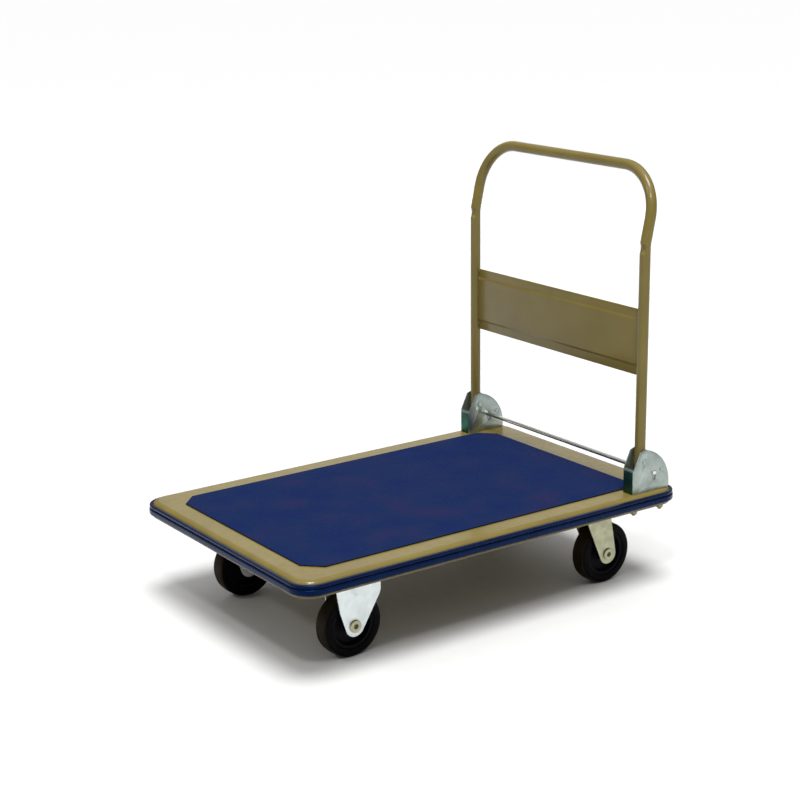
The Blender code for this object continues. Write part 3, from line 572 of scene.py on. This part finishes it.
# Short runs of overlapping beads along each trough, where it meets the sheet above it.
def makeDeckWelds():
    places = []
    for node, axis in (("front_cross_channel", 1), ("rear_cross_channel", 1),
                       ("left_deck_rib", 0), ("right_deck_rib", 0)):
        low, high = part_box(node)
        runs = int((high[axis] - low[axis]) / trough["weldPitch"])
        for edge in (low[1 - axis], high[1 - axis]):
            for run in range(runs):
                start = low[axis] + trough["weldPitch"] * (run + 0.5)
                for bead in range(14):
                    place = [0.0, 0.0, high.z - 0.0008]
                    place[axis] = start + bead * trough["weldLength"] / 14
                    place[1 - axis] = edge
                    places.append((place, (0.0, 0.0, bead * 0.7)))
    piece = repeated("deckWelds", beadShape(0.0022, 0.9), places, khaki, 0.12, 5)
    finish(piece, None, "deck", angle=60.0)


makeDeckPan()
makeMat()
makeBumper()
for node in ("front_cross_channel", "rear_cross_channel"):
    makeTrough(node, "Y")
for node in ("left_deck_rib", "right_deck_rib"):
    makeTrough(node, "X")
makeDeckWelds()
print("deck, mat, bumper and under-frame made")


# ---- the handle

handle = dict(wall=0.0015, kinkHeight=0.716, lean=math.radians(12.5), kinkBend=0.070,
              topCorner=0.098, tubeSides=48, cornerSteps=18, pinHole=0.0043,
              crimpDepth=0.0042, crimpHalf=0.010, crimpBelow=0.0)


# The middle line of the tube from the left foot over the top bar to the right foot.
def handlePath():
    plugLow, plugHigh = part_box("left_foot_plug")
    x, half = (plugLow.x + plugHigh.x) / 2, -(plugLow.y + plugHigh.y) / 2
    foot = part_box("handle_tube")[0].z
    sine, cosine = math.sin(handle["lean"]), math.cos(handle["lean"])
    bend, kink = handle["kinkBend"], handle["kinkHeight"]
    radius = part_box("handle_tube")[1].y - half
    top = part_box("handle_tube")[1].z - radius
    crimp = kink - handle["crimpBelow"]
    upright = [(x, foot), (x, crimp - 2 * handle["crimpHalf"])]
    steps = 20
    for step in range(steps):
        upright.append((x, crimp - handle["crimpHalf"] * (1 - step / steps)))
    leaning = arcPoints((x + bend, kink), bend, math.pi, math.pi - handle["lean"], 10)
    upright += leaning
    kinkX, kinkZ = leaning[-1]
    run = (top - kinkZ) / cosine
    path = [(a, -half, b) for a, b in upright]
    corner = handle["topCorner"]
    for across, along in arcPoints((corner - half, run - corner), corner, math.pi, math.pi / 2,
                                   handle["cornerSteps"]):
        path.append((kinkX + along * sine, across, kinkZ + along * cosine))
    return path + [(a, -b, c) for a, b, c in reversed(path)], crimp, radius


# Circles carried along a path without twisting; dent pushes each point in along its spoke.
def sweepLoops(path, radius, count, dent):
    points = [Vector(point) for point in path]
    side = Vector((1.0, 0.0, 0.0))
    loops = []
    for index, point in enumerate(points):
        ahead = points[min(index + 1, len(points) - 1)] - points[max(index - 1, 0)]
        ahead.normalize()
        side = (side - ahead * side.dot(ahead)).normalized()
        other = ahead.cross(side)
        loop = []
        for a, b in circlePoints((0.0, 0.0), 1.0, count):
            spoke = side * a + other * b
            loop.append(point + spoke * (radius - dent(point, a)))
        loops.append(loop)
    return loops


def makeHandleTube():
    path, crimp, radius = handlePath()

    # the press leaves a V across the front of each upright
    def dent(point, front):
        away = abs(point.z - crimp) / handle["crimpHalf"]
        if away >= 1.0 or front > 0.0:
            return 0.0
        return handle["crimpDepth"] * (1.0 - away) ** 0.8 * min(1.0, 1.6 * front * front)

    outer = sweepLoops(path, radius, handle["tubeSides"], dent)
    inner = sweepLoops(path, radius - handle["wall"], handle["tubeSides"], dent)
    piece = newObject("handleTube", loft(outer + inner[::-1], closed=True))
    for side, sign in sides:
        pin = middleOf(side + "_pivot_pin")
        drill(piece, "Y", pin.xz, handle["pinHole"], pin.y - 2 * radius, pin.y + 2 * radius)
    finish(piece, khaki, "handle", ["handle_tube"])


panel = dict(sheet=0.0015, border=0.018, slope=0.005, bend=0.0035, beadRadius=0.0021,
             weldRise=(0.008, 0.026, 0.111, 0.129), weldBeads=4)


def makePanel():
    low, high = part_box("handle_panel")
    sheet, border, slope, bend = panel["sheet"], panel["border"], panel["slope"], panel["bend"]
    field, rim = low.x + sheet / 2, high.x - sheet / 2
    line = [(rim, low.z), (rim, low.z + border, bend), (field, low.z + border + slope, bend),
            (field, high.z - border - slope, bend), (rim, high.z - border, bend), (rim, high.z)]
    line = filleted(line, 4, False)
    outline = [(x + sheet / 2, z) for x, z in line] + [(x - sheet / 2, z) for x, z in line[::-1]]
    piece = newObject("handlePanel", slab("Y", outline, low.y, high.y))
    soften(piece, 0.0004, 2, 60.0)
    finish(piece, khaki, "handle", ["handle_panel"])
    places = []
    for sign in (-1, 1):
        for rise in panel["weldRise"]:
            for bead in range(panel["weldBeads"]):
                place = (rim - sheet, sign * (high.y - 0.0004), low.z + rise + bead * 0.0022)
                places.append((place, (bead * 0.9, 0.0, 0.0)))
    beads = repeated("panelWelds", beadShape(panel["beadRadius"], 0.9), places, khaki, 0.15, 3)
    finish(beads, None, "handle", angle=60.0)


plug = dict(flange=0.0025, edgeRound=0.0009, hollow=0.006)


def makeFootPlugs():
    wall = handle["wall"] + fitGap
    for side, sign in sides:
        node = side + "_foot_plug"
        low, high, middle = span(node)
        radius = (high.x - low.x) / 2
        profile = filleted([
            (0.0005, low.z), (radius, low.z, plug["edgeRound"]),
            (radius, low.z + plug["flange"], 0.0004), (radius - wall, low.z + plug["flange"]),
            (radius - wall, high.z, 0.001), (radius - 2 * wall, high.z),
            (radius - 2 * wall, high.z - plug["hollow"]), (0.0005, high.z - plug["hollow"])],
            4, False)
        makePiece(node, lathe("Z", profile, middle.xy), plugPlastic, "handle")


makeHandleTube()
makePanel()
makeFootPlugs()
print("handle made")


# ---- the handle brackets

bracket = dict(sheet=0.0025, bend=0.0042, webHeight=0.047, roundRadius=0.080,
               roundTurn=math.radians(82.0), shoulderBack=0.0194, shoulderDrop=0.0041,
               edgeRound=0.0006, footRound=0.005, slotPlay=0.0004, pinPlay=0.0003, boltHole=0.0043)
pinRadii = {"_pivot_pin": 0.0040, "_spring_pin": 0.0030}
lockTravel = [j for j in frame["joints"] if j["name"] == "lock_bar_press"][0]["range_m"][1]


def cheekOutline(low, high):
    radius = bracket["roundRadius"]
    curved = arcPoints((high.x - radius, high.z - radius), radius, 0.0, bracket["roundTurn"], 36)
    shoulder = (low.x + bracket["shoulderBack"], high.z - bracket["shoulderDrop"])
    foot = bracket["footRound"]
    corners = [(low.x, low.z)]
    corners += arcPoints((high.x - foot, low.z + foot), foot, -math.pi / 2, 0.0, 6) + curved
    return corners + [shoulder, (low.x, low.z + bracket["webHeight"])]


def makeBracket(side):
    low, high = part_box(side + "_handle_bracket")
    sheet, bend = bracket["sheet"], bracket["bend"]
    section = filleted([
        (high.x, high.y), (low.x, high.y, bend), (low.x, low.y, bend), (high.x, low.y),
        (high.x, low.y + sheet), (low.x + sheet, low.y + sheet, bend - sheet),
        (low.x + sheet, high.y - sheet, bend - sheet), (high.x, high.y - sheet)], 6)
    piece = newObject(side + "HandleBracket", slab("Z", section, low.z, high.z + sheet))
    combine(piece, slab("Y", cheekOutline(low, high), low.y - sheet, high.y + sheet), "INTERSECT")
    floorPlate = [(low.x + sheet / 2, low.y + sheet / 2), (high.x - 0.0005, low.y + sheet / 2),
                  (high.x - 0.0005, high.y - sheet / 2), (low.x + sheet / 2, high.y - sheet / 2)]
    combine(piece, slab("Z", floorPlate, low.z + 0.0001, low.z + sheet), "UNION")
    barLow, barHigh, bar = span("lock_bar")
    barRadius = (barHigh.x - barLow.x) / 2 + bracket["slotPlay"]
    slot = arcPoints(bar.xz, barRadius, 0.0, math.pi, 16)
    slot += arcPoints((bar.x, bar.z - lockTravel), barRadius, math.pi, 2 * math.pi, 16)
    combine(piece, slab("Y", slot, low.y - sheet, high.y + sheet), "DIFFERENCE")
    for name, radius in pinRadii.items():
        hole = radius + bracket["pinPlay"]
        drill(piece, "Y", middleOf(side + name).xz, hole, low.y - sheet, high.y + sheet, 28)
    for place in ("front", "rear"):
        bolt = middleOf(f"{side}_bracket_bolt_{place}")
        drill(piece, "Z", bolt.xy, bracket["boltHole"], low.z - sheet, low.z + 2 * sheet)
    soften(piece, bracket["edgeRound"], 2, 40.0)
    finish(piece, brightZinc, "deck", [side + "_handle_bracket"])
    # the front face of the bent web is painted dark teal zinc: painted shade of the shadowed space
    # between the cheeks
    repaint(piece, webShadeZinc, lambda face: face.normal.x < -0.8 and face.center.x < low.x + sheet)


rivet = dict(dimple=0.0018, edge=0.0003)


# A pin across both cheeks with low spread heads.
def makeRivetedPin(side, name):
    low, high, middle = span(side + name)
    edge = rivet["edge"]
    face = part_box(side + "_handle_bracket")[1].y + fitGap - middle.y
    end, head, body = high.y - middle.y, (high.x - low.x) / 2, pinRadii[name]
    half = filleted([(edge, end - edge), (rivet["dimple"], end, 0.0002), (head, end - edge, 0.0004),
                     (head, face), (body, face)], 4, False)
    piece = evenLathe(pieceName(side + name), half, middle, 32, False)
    finish(piece, brightZinc, "deck", [side + name])


hexagonPiece = dict(pointsPerFlat=8, chamfer=math.tan(math.radians(28.0)))


def hexRadius(acrossFlats, angle):
    return acrossFlats / 2 / math.cos((angle + math.pi / 6) % (math.pi / 3) - math.pi / 6)


# Loops of a hexagon prism from near to far, with its chamfer at the far end or at both ends.
def hexLoops(axis, centre, acrossFlats, near, far, both=False):
    count = 6 * hexagonPiece["pointsPerFlat"]
    facing = acrossFlats / 2 * 0.99
    direction = 1.0 if far > near else -1.0
    angles = [2 * math.pi * index / count for index in range(count)]

    def loop(limit, along, sign):
        points = []
        for angle in angles:
            full = hexRadius(acrossFlats, angle)
            radius = min(full, limit) if limit else full
            fall = (full - facing) * hexagonPiece["chamfer"] if sign else 0.0
            points.append(axisPoint(axis, centre[0] + radius * math.cos(angle),
                                    centre[1] + radius * math.sin(angle), along + sign * fall))
        return points

    start = [loop(None, near, 0.0)]
    if both:
        start = [loop(facing, near, 0.0), loop(None, near, direction)]
    return start + [loop(None, far, -direction), loop(facing, far, 0.0)]


def roundLoop(axis, centre, radius, along):
    count = 6 * hexagonPiece["pointsPerFlat"]
    return [axisPoint(axis, a, b, along) for a, b in circlePoints(centre, radius, count)]


# Rings of a rolled thread between two places along a shank.
def threadLoops(axis, centre, radius, start, end, pitch):
    turns = max(2, int(abs(end - start) / pitch))
    loops = []
    for index in range(2 * turns + 1):
        depth = 0.0 if index % 2 else 0.12
        along = start + (end - start) * index / (2 * turns)
        loops.append(roundLoop(axis, centre, radius * (1.0 - depth), along))
    return loops


screw = dict(radius=0.004, acrossFlats=0.0128, headHeight=0.00512, pitch=0.00125,
             threadLength=0.024, tip=0.0008)


def makeBracketFasteners(side):
    radius = screw["radius"]
    for place in ("front", "rear"):
        node = f"{side}_bracket_bolt_{place}"
        low, high, middle = span(node)
        seat = high.z - screw["headHeight"]
        loops = hexLoops("Z", middle.xy, screw["acrossFlats"], seat, high.z)[::-1]
        loops.append(roundLoop("Z", middle.xy, radius, seat))
        loops += threadLoops("Z", middle.xy, radius, low.z + screw["threadLength"],
                             low.z + screw["tip"], screw["pitch"])
        loops.append(roundLoop("Z", middle.xy, radius * 0.8, low.z))
        makePiece(node, loft(loops), fastenerZinc, "deck", 25.0)
        makeNut(f"{side}_bracket_nut_{place}", "Z", radius, "deck")


# A chamfered nut with a plain bore, as large as its node.
def makeNut(node, axis, shankRadius, body):
    low, high, middle = span(node)
    along = "XYZ".index(axis)
    centre = middle.xy if axis == "Z" else middle.xz
    acrossFlats = min(high[index] - low[index] for index in range(3) if index != along)
    bore, lead = shankRadius + fitGap, 0.0006
    bottom, top = low[along], high[along]
    loops = hexLoops(axis, centre, acrossFlats, bottom, top, True)
    for radius, place in ((bore + lead, top), (bore, top - lead), (bore, bottom + lead),
                          (bore + lead, bottom)):
        loops.append(roundLoop(axis, centre, radius, place))
    makePiece(node, loft(loops, closed=True), fastenerZinc, body, 25.0)


lockBar = dict(tipRound=0.0012, springTurns=7, springWire=0.0011, stepsPerTurn=28, wireSides=8,
               springRadius=0.00372)


def makeLockBar():
    low, high, middle = span("lock_bar")
    radius = (high.z - low.z) / 2
    profile = filleted([(0.0004, low.y), (radius, low.y, lockBar["tipRound"]),
                        (radius, high.y, lockBar["tipRound"]), (0.0004, high.y)], 5, False)
    makePiece("lock_bar", lathe("Y", profile, middle.xz, 40), barSteel, "lock_bar")
    for side, sign in sides:
        clipLow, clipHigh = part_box(side + "_bar_clip")
        outer = (clipHigh.x - clipLow.x) / 2
        profile = filleted([(radius + fitGap, clipLow.y), (outer, clipLow.y, 0.0004),
                            (outer, clipHigh.y, 0.0004), (radius + fitGap, clipHigh.y)], 3)
        shape = lathe("Y", profile, middle.xz, 40, True)
        makePiece(side + "_bar_clip", shape, brightZinc, "lock_bar")


# A coil with closed end turns, squeezed between the bracket's floor and the bar.
def makeLockSpring(side):
    low, high, middle = span(side + "_lock_spring")
    wire, steps = lockBar["springWire"] / 2, lockBar["stepsPerTurn"]
    total = lockBar["springTurns"] * steps
    bottom, top = low.z + wire, high.z - wire
    loops = []
    for index in range(total + 1):
        angle = 2 * math.pi * index / steps
        share = index / total
        rise = share - math.sin(2 * math.pi * share) * 0.10
        outward = Vector((math.cos(angle), math.sin(angle), 0.0))
        centre = Vector((middle.x, middle.y, bottom + (top - bottom) * rise))
        centre += outward * lockBar["springRadius"]
        loops.append([centre + outward * a + Vector((0.0, 0.0, b))
                      for a, b in circlePoints((0.0, 0.0), wire, lockBar["wireSides"])])
    piece = newObject(side + "LockSpring", loft(loops))
    piece.data.materials.append(springSteel)
    piece.data.shade_smooth()
    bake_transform(piece)
    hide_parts(side + "_lock_spring")


for side, sign in sides:
    makeBracket(side)
    for name in pinRadii:
        makeRivetedPin(side, name)
    makeBracketFasteners(side)
    makeLockSpring(side)
makeLockBar()
print("brackets, lock bar and fasteners made")


# ---- the castors

tyre = dict(depth=0.019, ridgeInset=0.009, ridgeHeight=0.0003, treadDepth=0.0025, count=112)


def makeTyre(node, body):
    low, high, middle = span(node)
    crown, half = (high.z - low.z) / 2, (high.y - low.y) / 2
    rim, rise = crown - tyre["depth"] + fitGap, tyre["ridgeHeight"]
    ridge = crown - tyre["ridgeInset"]
    side = [(rim, half - 0.003), (rim + 0.0035, half - rise, 0.0012),
            (ridge - 0.0022, half - rise, 0.001), (ridge - 0.001, half, 0.0005),
            (ridge + 0.001, half, 0.0005), (ridge + 0.0022, half - rise, 0.001),
            (crown - 0.0005, half - rise - 0.0012, 0.006), (crown, 0.004, 0.02)]
    piece = evenLathe(pieceName(node), filleted(side, 6, False), middle, tyre["count"])
    finish(piece, rubber, body, [node])

    # the tread is painted brown: a painted reflection of warm light
    def onTread(face):
        away = (face.center.xz - middle.xz).length
        return away > crown - tyre["treadDepth"] and abs(face.center.y - middle.y) < half - 0.002

    repaint(piece, treadReflectionRubber, onTread)


wheel = dict(rimThickness=0.005, disc=0.010, hub=0.017, slant=0.0034,
             hubHole=0.0078, count=96, rimHalf=0.015, edge=0.001)


def makeWheelCentre(node, body):
    low, high, middle = span(node)
    rim, half = (high.z - low.z) / 2, (high.y - low.y) / 2
    disc, hub, slant, edge = wheel["disc"] / 2, wheel["hub"], wheel["slant"], wheel["edge"]
    lip = rim - wheel["rimThickness"]
    side = [(wheel["hubHole"], half), (hub - slant, half, edge), (hub, disc, 0.002),
            (lip - slant, disc, 0.002), (lip, wheel["rimHalf"], edge),
            (rim, wheel["rimHalf"], edge / 2)]
    piece = evenLathe(pieceName(node), filleted(side, 4, False), middle, wheel["count"])
    finish(piece, nylon, body, [node])


def makeWheel(name):
    makeTyre(name + "_tyre", name + "_wheel")
    makeWheelCentre(name + "_wheel_centre", name + "_wheel")


axle = dict(radius=0.005, headHeight=0.003, headRound=0.0012, dimple=0.0052, dimpleDepth=0.001,
            pitch=0.0015, bushBore=0.0053, bushRadius=0.0075)


def makeAxle(name, body):
    low, high, middle = span(name + "_axle_bolt")
    outward = -1 if "left" in name else 1
    end, tip = (low.y, high.y) if outward < 0 else (high.y, low.y)
    head, radius, dimple = (high.z - low.z) / 2, axle["radius"], axle["dimple"]
    face = end - outward * axle["headHeight"]
    hollow = end - outward * axle["dimpleDepth"]
    profile = filleted([(0.0004, hollow), (dimple * 0.7, hollow, 0.0005), (dimple, end, 0.0004),
                        (head, end, axle["headRound"]), (head, face), (radius, face)], 5, False)
    loops = [roundLoop("Y", middle.xz, reach, along) for reach, along in profile]
    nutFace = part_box(name + "_axle_nut")[1 if outward < 0 else 0].y
    loops += threadLoops("Y", middle.xz, radius, nutFace + outward * 0.012,
                         tip + outward * 0.0006, axle["pitch"])
    loops.append(roundLoop("Y", middle.xz, radius * 0.8, tip))
    node = name + "_axle_bolt"
    bolt = makePiece(node, loft(loops), yellowZinc, body, 30.0)

    # the hollow of the head is painted darker: painted shade
    def inHollow(at):
        deep = (end - at.center.y) * outward
        return (at.center.xz - middle.xz).length < dimple and deep < axle["headHeight"]

    repaint(bolt, hollowShadeZinc, inHollow)
    makeNut(name + "_axle_nut", "Y", radius, body)
    low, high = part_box(name + "_wheel_bush")
    profile = filleted([(axle["bushBore"], low.y), (axle["bushRadius"], low.y, 0.0005),
                        (axle["bushRadius"], high.y, 0.0005), (axle["bushBore"], high.y)], 3)
    shape = lathe("Y", profile, middle.xz, 40, True)
    makePiece(name + "_wheel_bush", shape, bushSteel, body)


# fixed flanks: reach at the crown, reach and rise of the knee from the axle, and its rounding
fork = dict(sheet=0.003, tipRadius=0.021, bend=0.006, edgeRound=0.0011,
            fixedFront=(-0.0445, -0.0335, 0.034, 0.04), fixedBack=(0.0595, 0.0595, 0.058, 0.03),
            swivelFront=-0.028, swivelBack=0.0425, fixedEmboss=0.004, swivelEmboss=-0.014,
            embossRadius=0.008, embossHeight=0.0011, embossRise=0.058, axleHole=0.0053,
            plateThickness=0.004, plateCorner=0.008, plateRound=0.0007)


# A leg between two flanks, each listed downward, with a round tip about the axle.
def legOutline(axleAt, front, back):
    radius = fork["tipRadius"]

    def tangentAngle(corner, side):
        across, up = corner[0] - axleAt[0], corner[1] - axleAt[1]
        return math.atan2(up, across) + side * math.acos(radius / math.hypot(across, up))

    start = tangentAngle(front[-1], 1.0)
    end = tangentAngle(back[-1], -1.0) + 2 * math.pi
    return filleted(front + arcPoints(axleAt, radius, start, end, 32) + back[::-1], 6)


def domeShape(centre, y, outward):
    radius, height = fork["embossRadius"], fork["embossHeight"]
    profile = [(radius + 0.001, y - outward * 0.0005), (radius, y)]
    for step in range(1, 9):
        share = step / 8
        rise = height * math.sin(share * math.pi / 2)
        profile.append((radius * (1 - 0.96 * share), y + outward * rise))
    return lathe("Y", profile, centre, 32)


def plateShape(low, high, bottom):
    corner = fork["plateCorner"]
    outline = filleted([(low.x, low.y, corner), (high.x, low.y, corner), (high.x, high.y, corner),
                        (low.x, high.y, corner)], 6)
    return slab("Z", outline, bottom, high.z)


# Both legs and the crown of a fork as one bent sheet, trimmed to the outline of its legs.
def forkBody(node, outline, middleY, half, low, top):
    sheet, bend = fork["sheet"], fork["bend"]
    inner = half - sheet
    section = filleted([
        (middleY - half, low), (middleY - half, top, bend), (middleY + half, top, bend),
        (middleY + half, low), (middleY + inner, low), (middleY + inner, top - sheet, bend - sheet),
        (middleY - inner, top - sheet, bend - sheet), (middleY - inner, low)], 6)
    xs = [x for x, z in outline]
    piece = newObject(pieceName(node), slab("X", section, min(xs) - 0.001, max(xs) + 0.001))
    combine(piece, slab("Y", outline, middleY - half - 0.01, middleY + half + 0.01), "INTERSECT")
    return piece


def finishFork(piece, node, axleAt, middleY, half, embossX, material, body):
    emboss = (embossX, axleAt[1] + fork["embossRise"])
    for outward in (-1, 1):
        combine(piece, domeShape(emboss, middleY + outward * half, outward), "UNION")
    drill(piece, "Y", axleAt, fork["axleHole"], middleY - 2 * half, middleY + 2 * half, 28)
    soften(piece, fork["edgeRound"], 3, 42.0)
    finish(piece, material, body, [node])


# from a castor's middle plane to the outside of its legs
def forkHalf(name, middleY):
    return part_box(name + "_wheel_bush")[1].y + fitGap + fork["sheet"] - middleY


def makeFixedCastor(side):
    name = "front_" + side
    node = name + "_fork"
    low, high, middle = span(node)
    axleAt = middleOf(name + "_tyre").xz
    half = forkHalf(name, middle.y)
    flanks = []
    for outer, knee, rise, rounding in (fork["fixedFront"], fork["fixedBack"]):
        flanks.append([(axleAt[0] + outer, high.z - 0.0005),
                       (axleAt[0] + knee, axleAt[1] + rise, rounding)])
    outline = legOutline(axleAt, *flanks)
    piece = forkBody(node, outline, middle.y, half, low.z - 0.001, high.z - 0.0006)
    combine(piece, plateShape(low, high, high.z - fork["plateThickness"]), "UNION")
    embossX = axleAt[0] + fork["fixedEmboss"]
    finishFork(piece, node, axleAt, middle.y, half, embossX, whiteZinc, "deck")
    makeAxle(name, "deck")
    makeWheel(name)


race = dict(bevel=0.0022, groove=0.0012, bore=0.0174)
kingpin = dict(bore=0.006, headHeight=0.006, headRound=0.0028)
crown = dict(discRadius=0.029, discInset=0.0006)


def makeSwivelCastor(side):
    name = "rear_" + side
    body, node = name + "_swivel", name + "_top_plate"
    low, high, pivot = span(node)
    plate = newObject(pieceName(node), plateShape(low, high, low.z))
    bore = kingpin["bore"] + fitGap
    drill(plate, "Z", pivot.xy, bore, low.z - 0.01, high.z + 0.01, 32)
    soften(plate, fork["plateRound"], 2, 50.0)
    finish(plate, yellowZinc, "deck", [node])

    node = name + "_ball_race"
    low, high, middle = span(node)
    radius, groove = (high.x - low.x) / 2, race["groove"]
    profile = filleted([
        (race["bore"], low.z), (radius, low.z, race["bevel"]), (radius, middle.z - groove, 0.0004),
        (radius - groove, middle.z), (radius, middle.z + groove, 0.0004),
        (radius, high.z, race["bevel"]), (race["bore"], high.z)], 4)
    makePiece(node, lathe("Z", profile, pivot.xy, 64, True), yellowZinc, "deck")

    node = name + "_kingpin"
    low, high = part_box(node)
    head, seat = (high.x - low.x) / 2, low.z + kingpin["headHeight"]
    profile = filleted([
        (0.0004, low.z), (head, low.z, kingpin["headRound"]), (head, seat), (kingpin["bore"], seat),
        (kingpin["bore"], high.z, 0.0006), (0.0004, high.z)], 5, False)
    makePiece(node, lathe("Z", profile, pivot.xy, 48), yellowZinc, "deck")

    node = name + "_fork"
    low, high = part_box(node)
    axleAt = middleOf(name + "_tyre").xz
    half = forkHalf(name, pivot.y)
    flanks = [[(pivot.x + fork[reach], high.z + 0.001)] for reach in ("swivelFront", "swivelBack")]
    piece = forkBody(node, legOutline(axleAt, *flanks), pivot.y, half, low.z - 0.001, high.z)
    disc = circlePoints(pivot.xy, crown["discRadius"], 64)
    inset = crown["discInset"]
    combine(piece, slab("Z", disc, high.z - fork["sheet"] + inset, high.z - inset), "UNION")
    drill(piece, "Z", pivot.xy, bore, high.z - 0.01, high.z + 0.01, 32)
    embossX = axleAt[0] + fork["swivelEmboss"]
    finishFork(piece, node, axleAt, pivot.y, half, embossX, yellowZinc, body)
    makeAxle(name, body)
    makeWheel(name)


plateScrew = dict(inset=(0.0115, 0.0110), washerRadius=0.0078, washerHeight=0.0012,
                  headHeight=0.0050, radius=0.0038, acrossFlats=0.0125, throughBoth=0.0064,
                  nutHeight=0.0060)


# One screw for all four castors: washer and head under the plate, nut inside the trough.
def makePlateScrews():
    centre, wide, radius = (0.0, 0.0), plateScrew["acrossFlats"], plateScrew["radius"]
    under, nutBase = -plateScrew["washerHeight"], plateScrew["throughBoth"]
    nutTop = nutBase + plateScrew["nutHeight"]
    washer = loft([roundLoop("Z", centre, plateScrew["washerRadius"], along)
                   for along in (0.0, under)])
    head = loft(hexLoops("Z", centre, wide, under, under - plateScrew["headHeight"]))
    nut = loft(hexLoops("Z", centre, wide, nutBase, nutTop))
    shank = loft([roundLoop("Z", centre, radius, along) for along in (under, nutTop + 0.002)])
    places = []
    for node in ("front_left_fork", "front_right_fork", "rear_left_top_plate",
                 "rear_right_top_plate"):
        low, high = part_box(node)
        insetX, insetY = plateScrew["inset"]
        seat = high.z - fork["plateThickness"] - 0.0002
        for x in (low.x + insetX, high.x - insetX):
            for y in (low.y + insetY, high.y - insetY):
                places.append(((x, y, seat), (0.0, 0.0, 0.4 * len(places))))
    shape = joined([washer, head, nut, shank])
    piece = repeated("castorPlateScrews", shape, places, fastenerZinc)
    finish(piece, None, "deck", angle=25.0)


for side, sign in sides:
    makeFixedCastor(side)
    makeSwivelCastor(side)
makePlateScrews()
print("castors made")


# ---- floor, light and camera

studio = dict(floorSize=60.0, floorColours=("#cdcdcd", "#cfcfcf"), horizon=0.08, zenith=1.2,
              sunStrength=3.3, sunFrom=(-0.1, -0.25, 0.95), sunSpread=math.radians(24.0),
              lampAim=(0.0, 0.0, 0.3),
              lamps=(("sideLight", (-2.2, -2.6, 4.2), 0.4, 60.0),
                     ("frontLight", (-3.4, 0.9, 3.0), 0.3, 18.0),
                     ("backLight", (2.9, 4.0, 1.7), 3.0, 20.0)))


def makeFloor():
    shape = bmesh.new()
    bmesh.ops.create_grid(shape, x_segments=1, y_segments=1, size=studio["floorSize"])
    floor = newObject("floor", shape)
    dark, light = studio["floorColours"]
    floor.data.materials.append(grained("paleFloorPaint", (40.0,), (0.3, dark), (0.7, light),
                                        Roughness=0.85))


def makeLight(name, kind, place, size, power):
    light = bpy.data.lights.new(name, kind)
    light.energy = power
    if kind == "SUN":
        light.angle = size
    else:
        light.size = size
    lamp = bpy.data.objects.new(name, light)
    bpy.context.scene.collection.objects.link(lamp)
    lamp.location = place
    toward = Vector(studio["lampAim"]) - Vector(place)
    lamp.rotation_euler = toward.to_track_quat("-Z", "Y").to_euler()


def makeWorld():
    world = bpy.data.worlds.new("studioWorld")
    world.use_nodes = True
    tree = world.node_tree
    tree.nodes.clear()
    place = addNode(tree, "ShaderNodeTexCoord").outputs["Generated"]
    height = addNode(tree, "ShaderNodeSeparateXYZ", inputs={0: place}).outputs["Z"]
    bent = calculate(tree, "POWER", calculate(tree, "MAXIMUM", height, 0.0), 2.0)
    strength = addNode(tree, "ShaderNodeMapRange", inputs={
        "Value": bent, "To Min": studio["horizon"], "To Max": studio["zenith"]})
    sky = addNode(tree, "ShaderNodeBackground", inputs={
        "Color": hexColour("#ffffff"), "Strength": strength.outputs["Result"]})
    addNode(tree, "ShaderNodeOutputWorld", inputs={"Surface": sky.outputs["Background"]})
    bpy.context.scene.world = world
    bpy.context.scene.view_settings.view_transform = "Standard"


# the camera stands ahead of the deck's left front corner, a little above the handle
view = dict(turn=math.radians(35.2336), dip=math.radians(15.6436), roll=math.radians(-0.6823),
            distance=3.6152, aim=(0.0091, 0.0551, 0.4), lens=79.26, shiftY=-0.0025)


def makeCamera():
    data = bpy.data.cameras.new("camera")
    data.lens = view["lens"]
    data.sensor_width = 36.0
    data.shift_y = view["shiftY"]
    camera = bpy.data.objects.new("camera", data)
    bpy.context.scene.collection.objects.link(camera)
    turn, dip, roll = view["turn"], view["dip"], view["roll"]
    ahead = Vector((math.sin(turn) * math.cos(dip), math.cos(turn) * math.cos(dip), -math.sin(dip)))
    level = Vector((math.cos(turn), -math.sin(turn), 0.0))
    upward = level.cross(ahead)
    right = level * math.cos(roll) + upward * math.sin(roll)
    above = upward * math.cos(roll) - level * math.sin(roll)
    basis = Matrix((right, above, -ahead)).transposed().to_4x4()
    camera.matrix_world = Matrix.Translation(Vector(view["aim"]) - ahead * view["distance"]) @ basis
    bpy.context.scene.camera = camera


makeFloor()
makeWorld()
sunPlace = [5.0 * part for part in studio["sunFrom"]]
makeLight("ceilingLight", "SUN", sunPlace, studio["sunSpread"], studio["sunStrength"])
for name, place, size, power in studio["lamps"]:
    makeLight(name, "AREA", place, size, power)
makeCamera()
print("studio and camera ready")
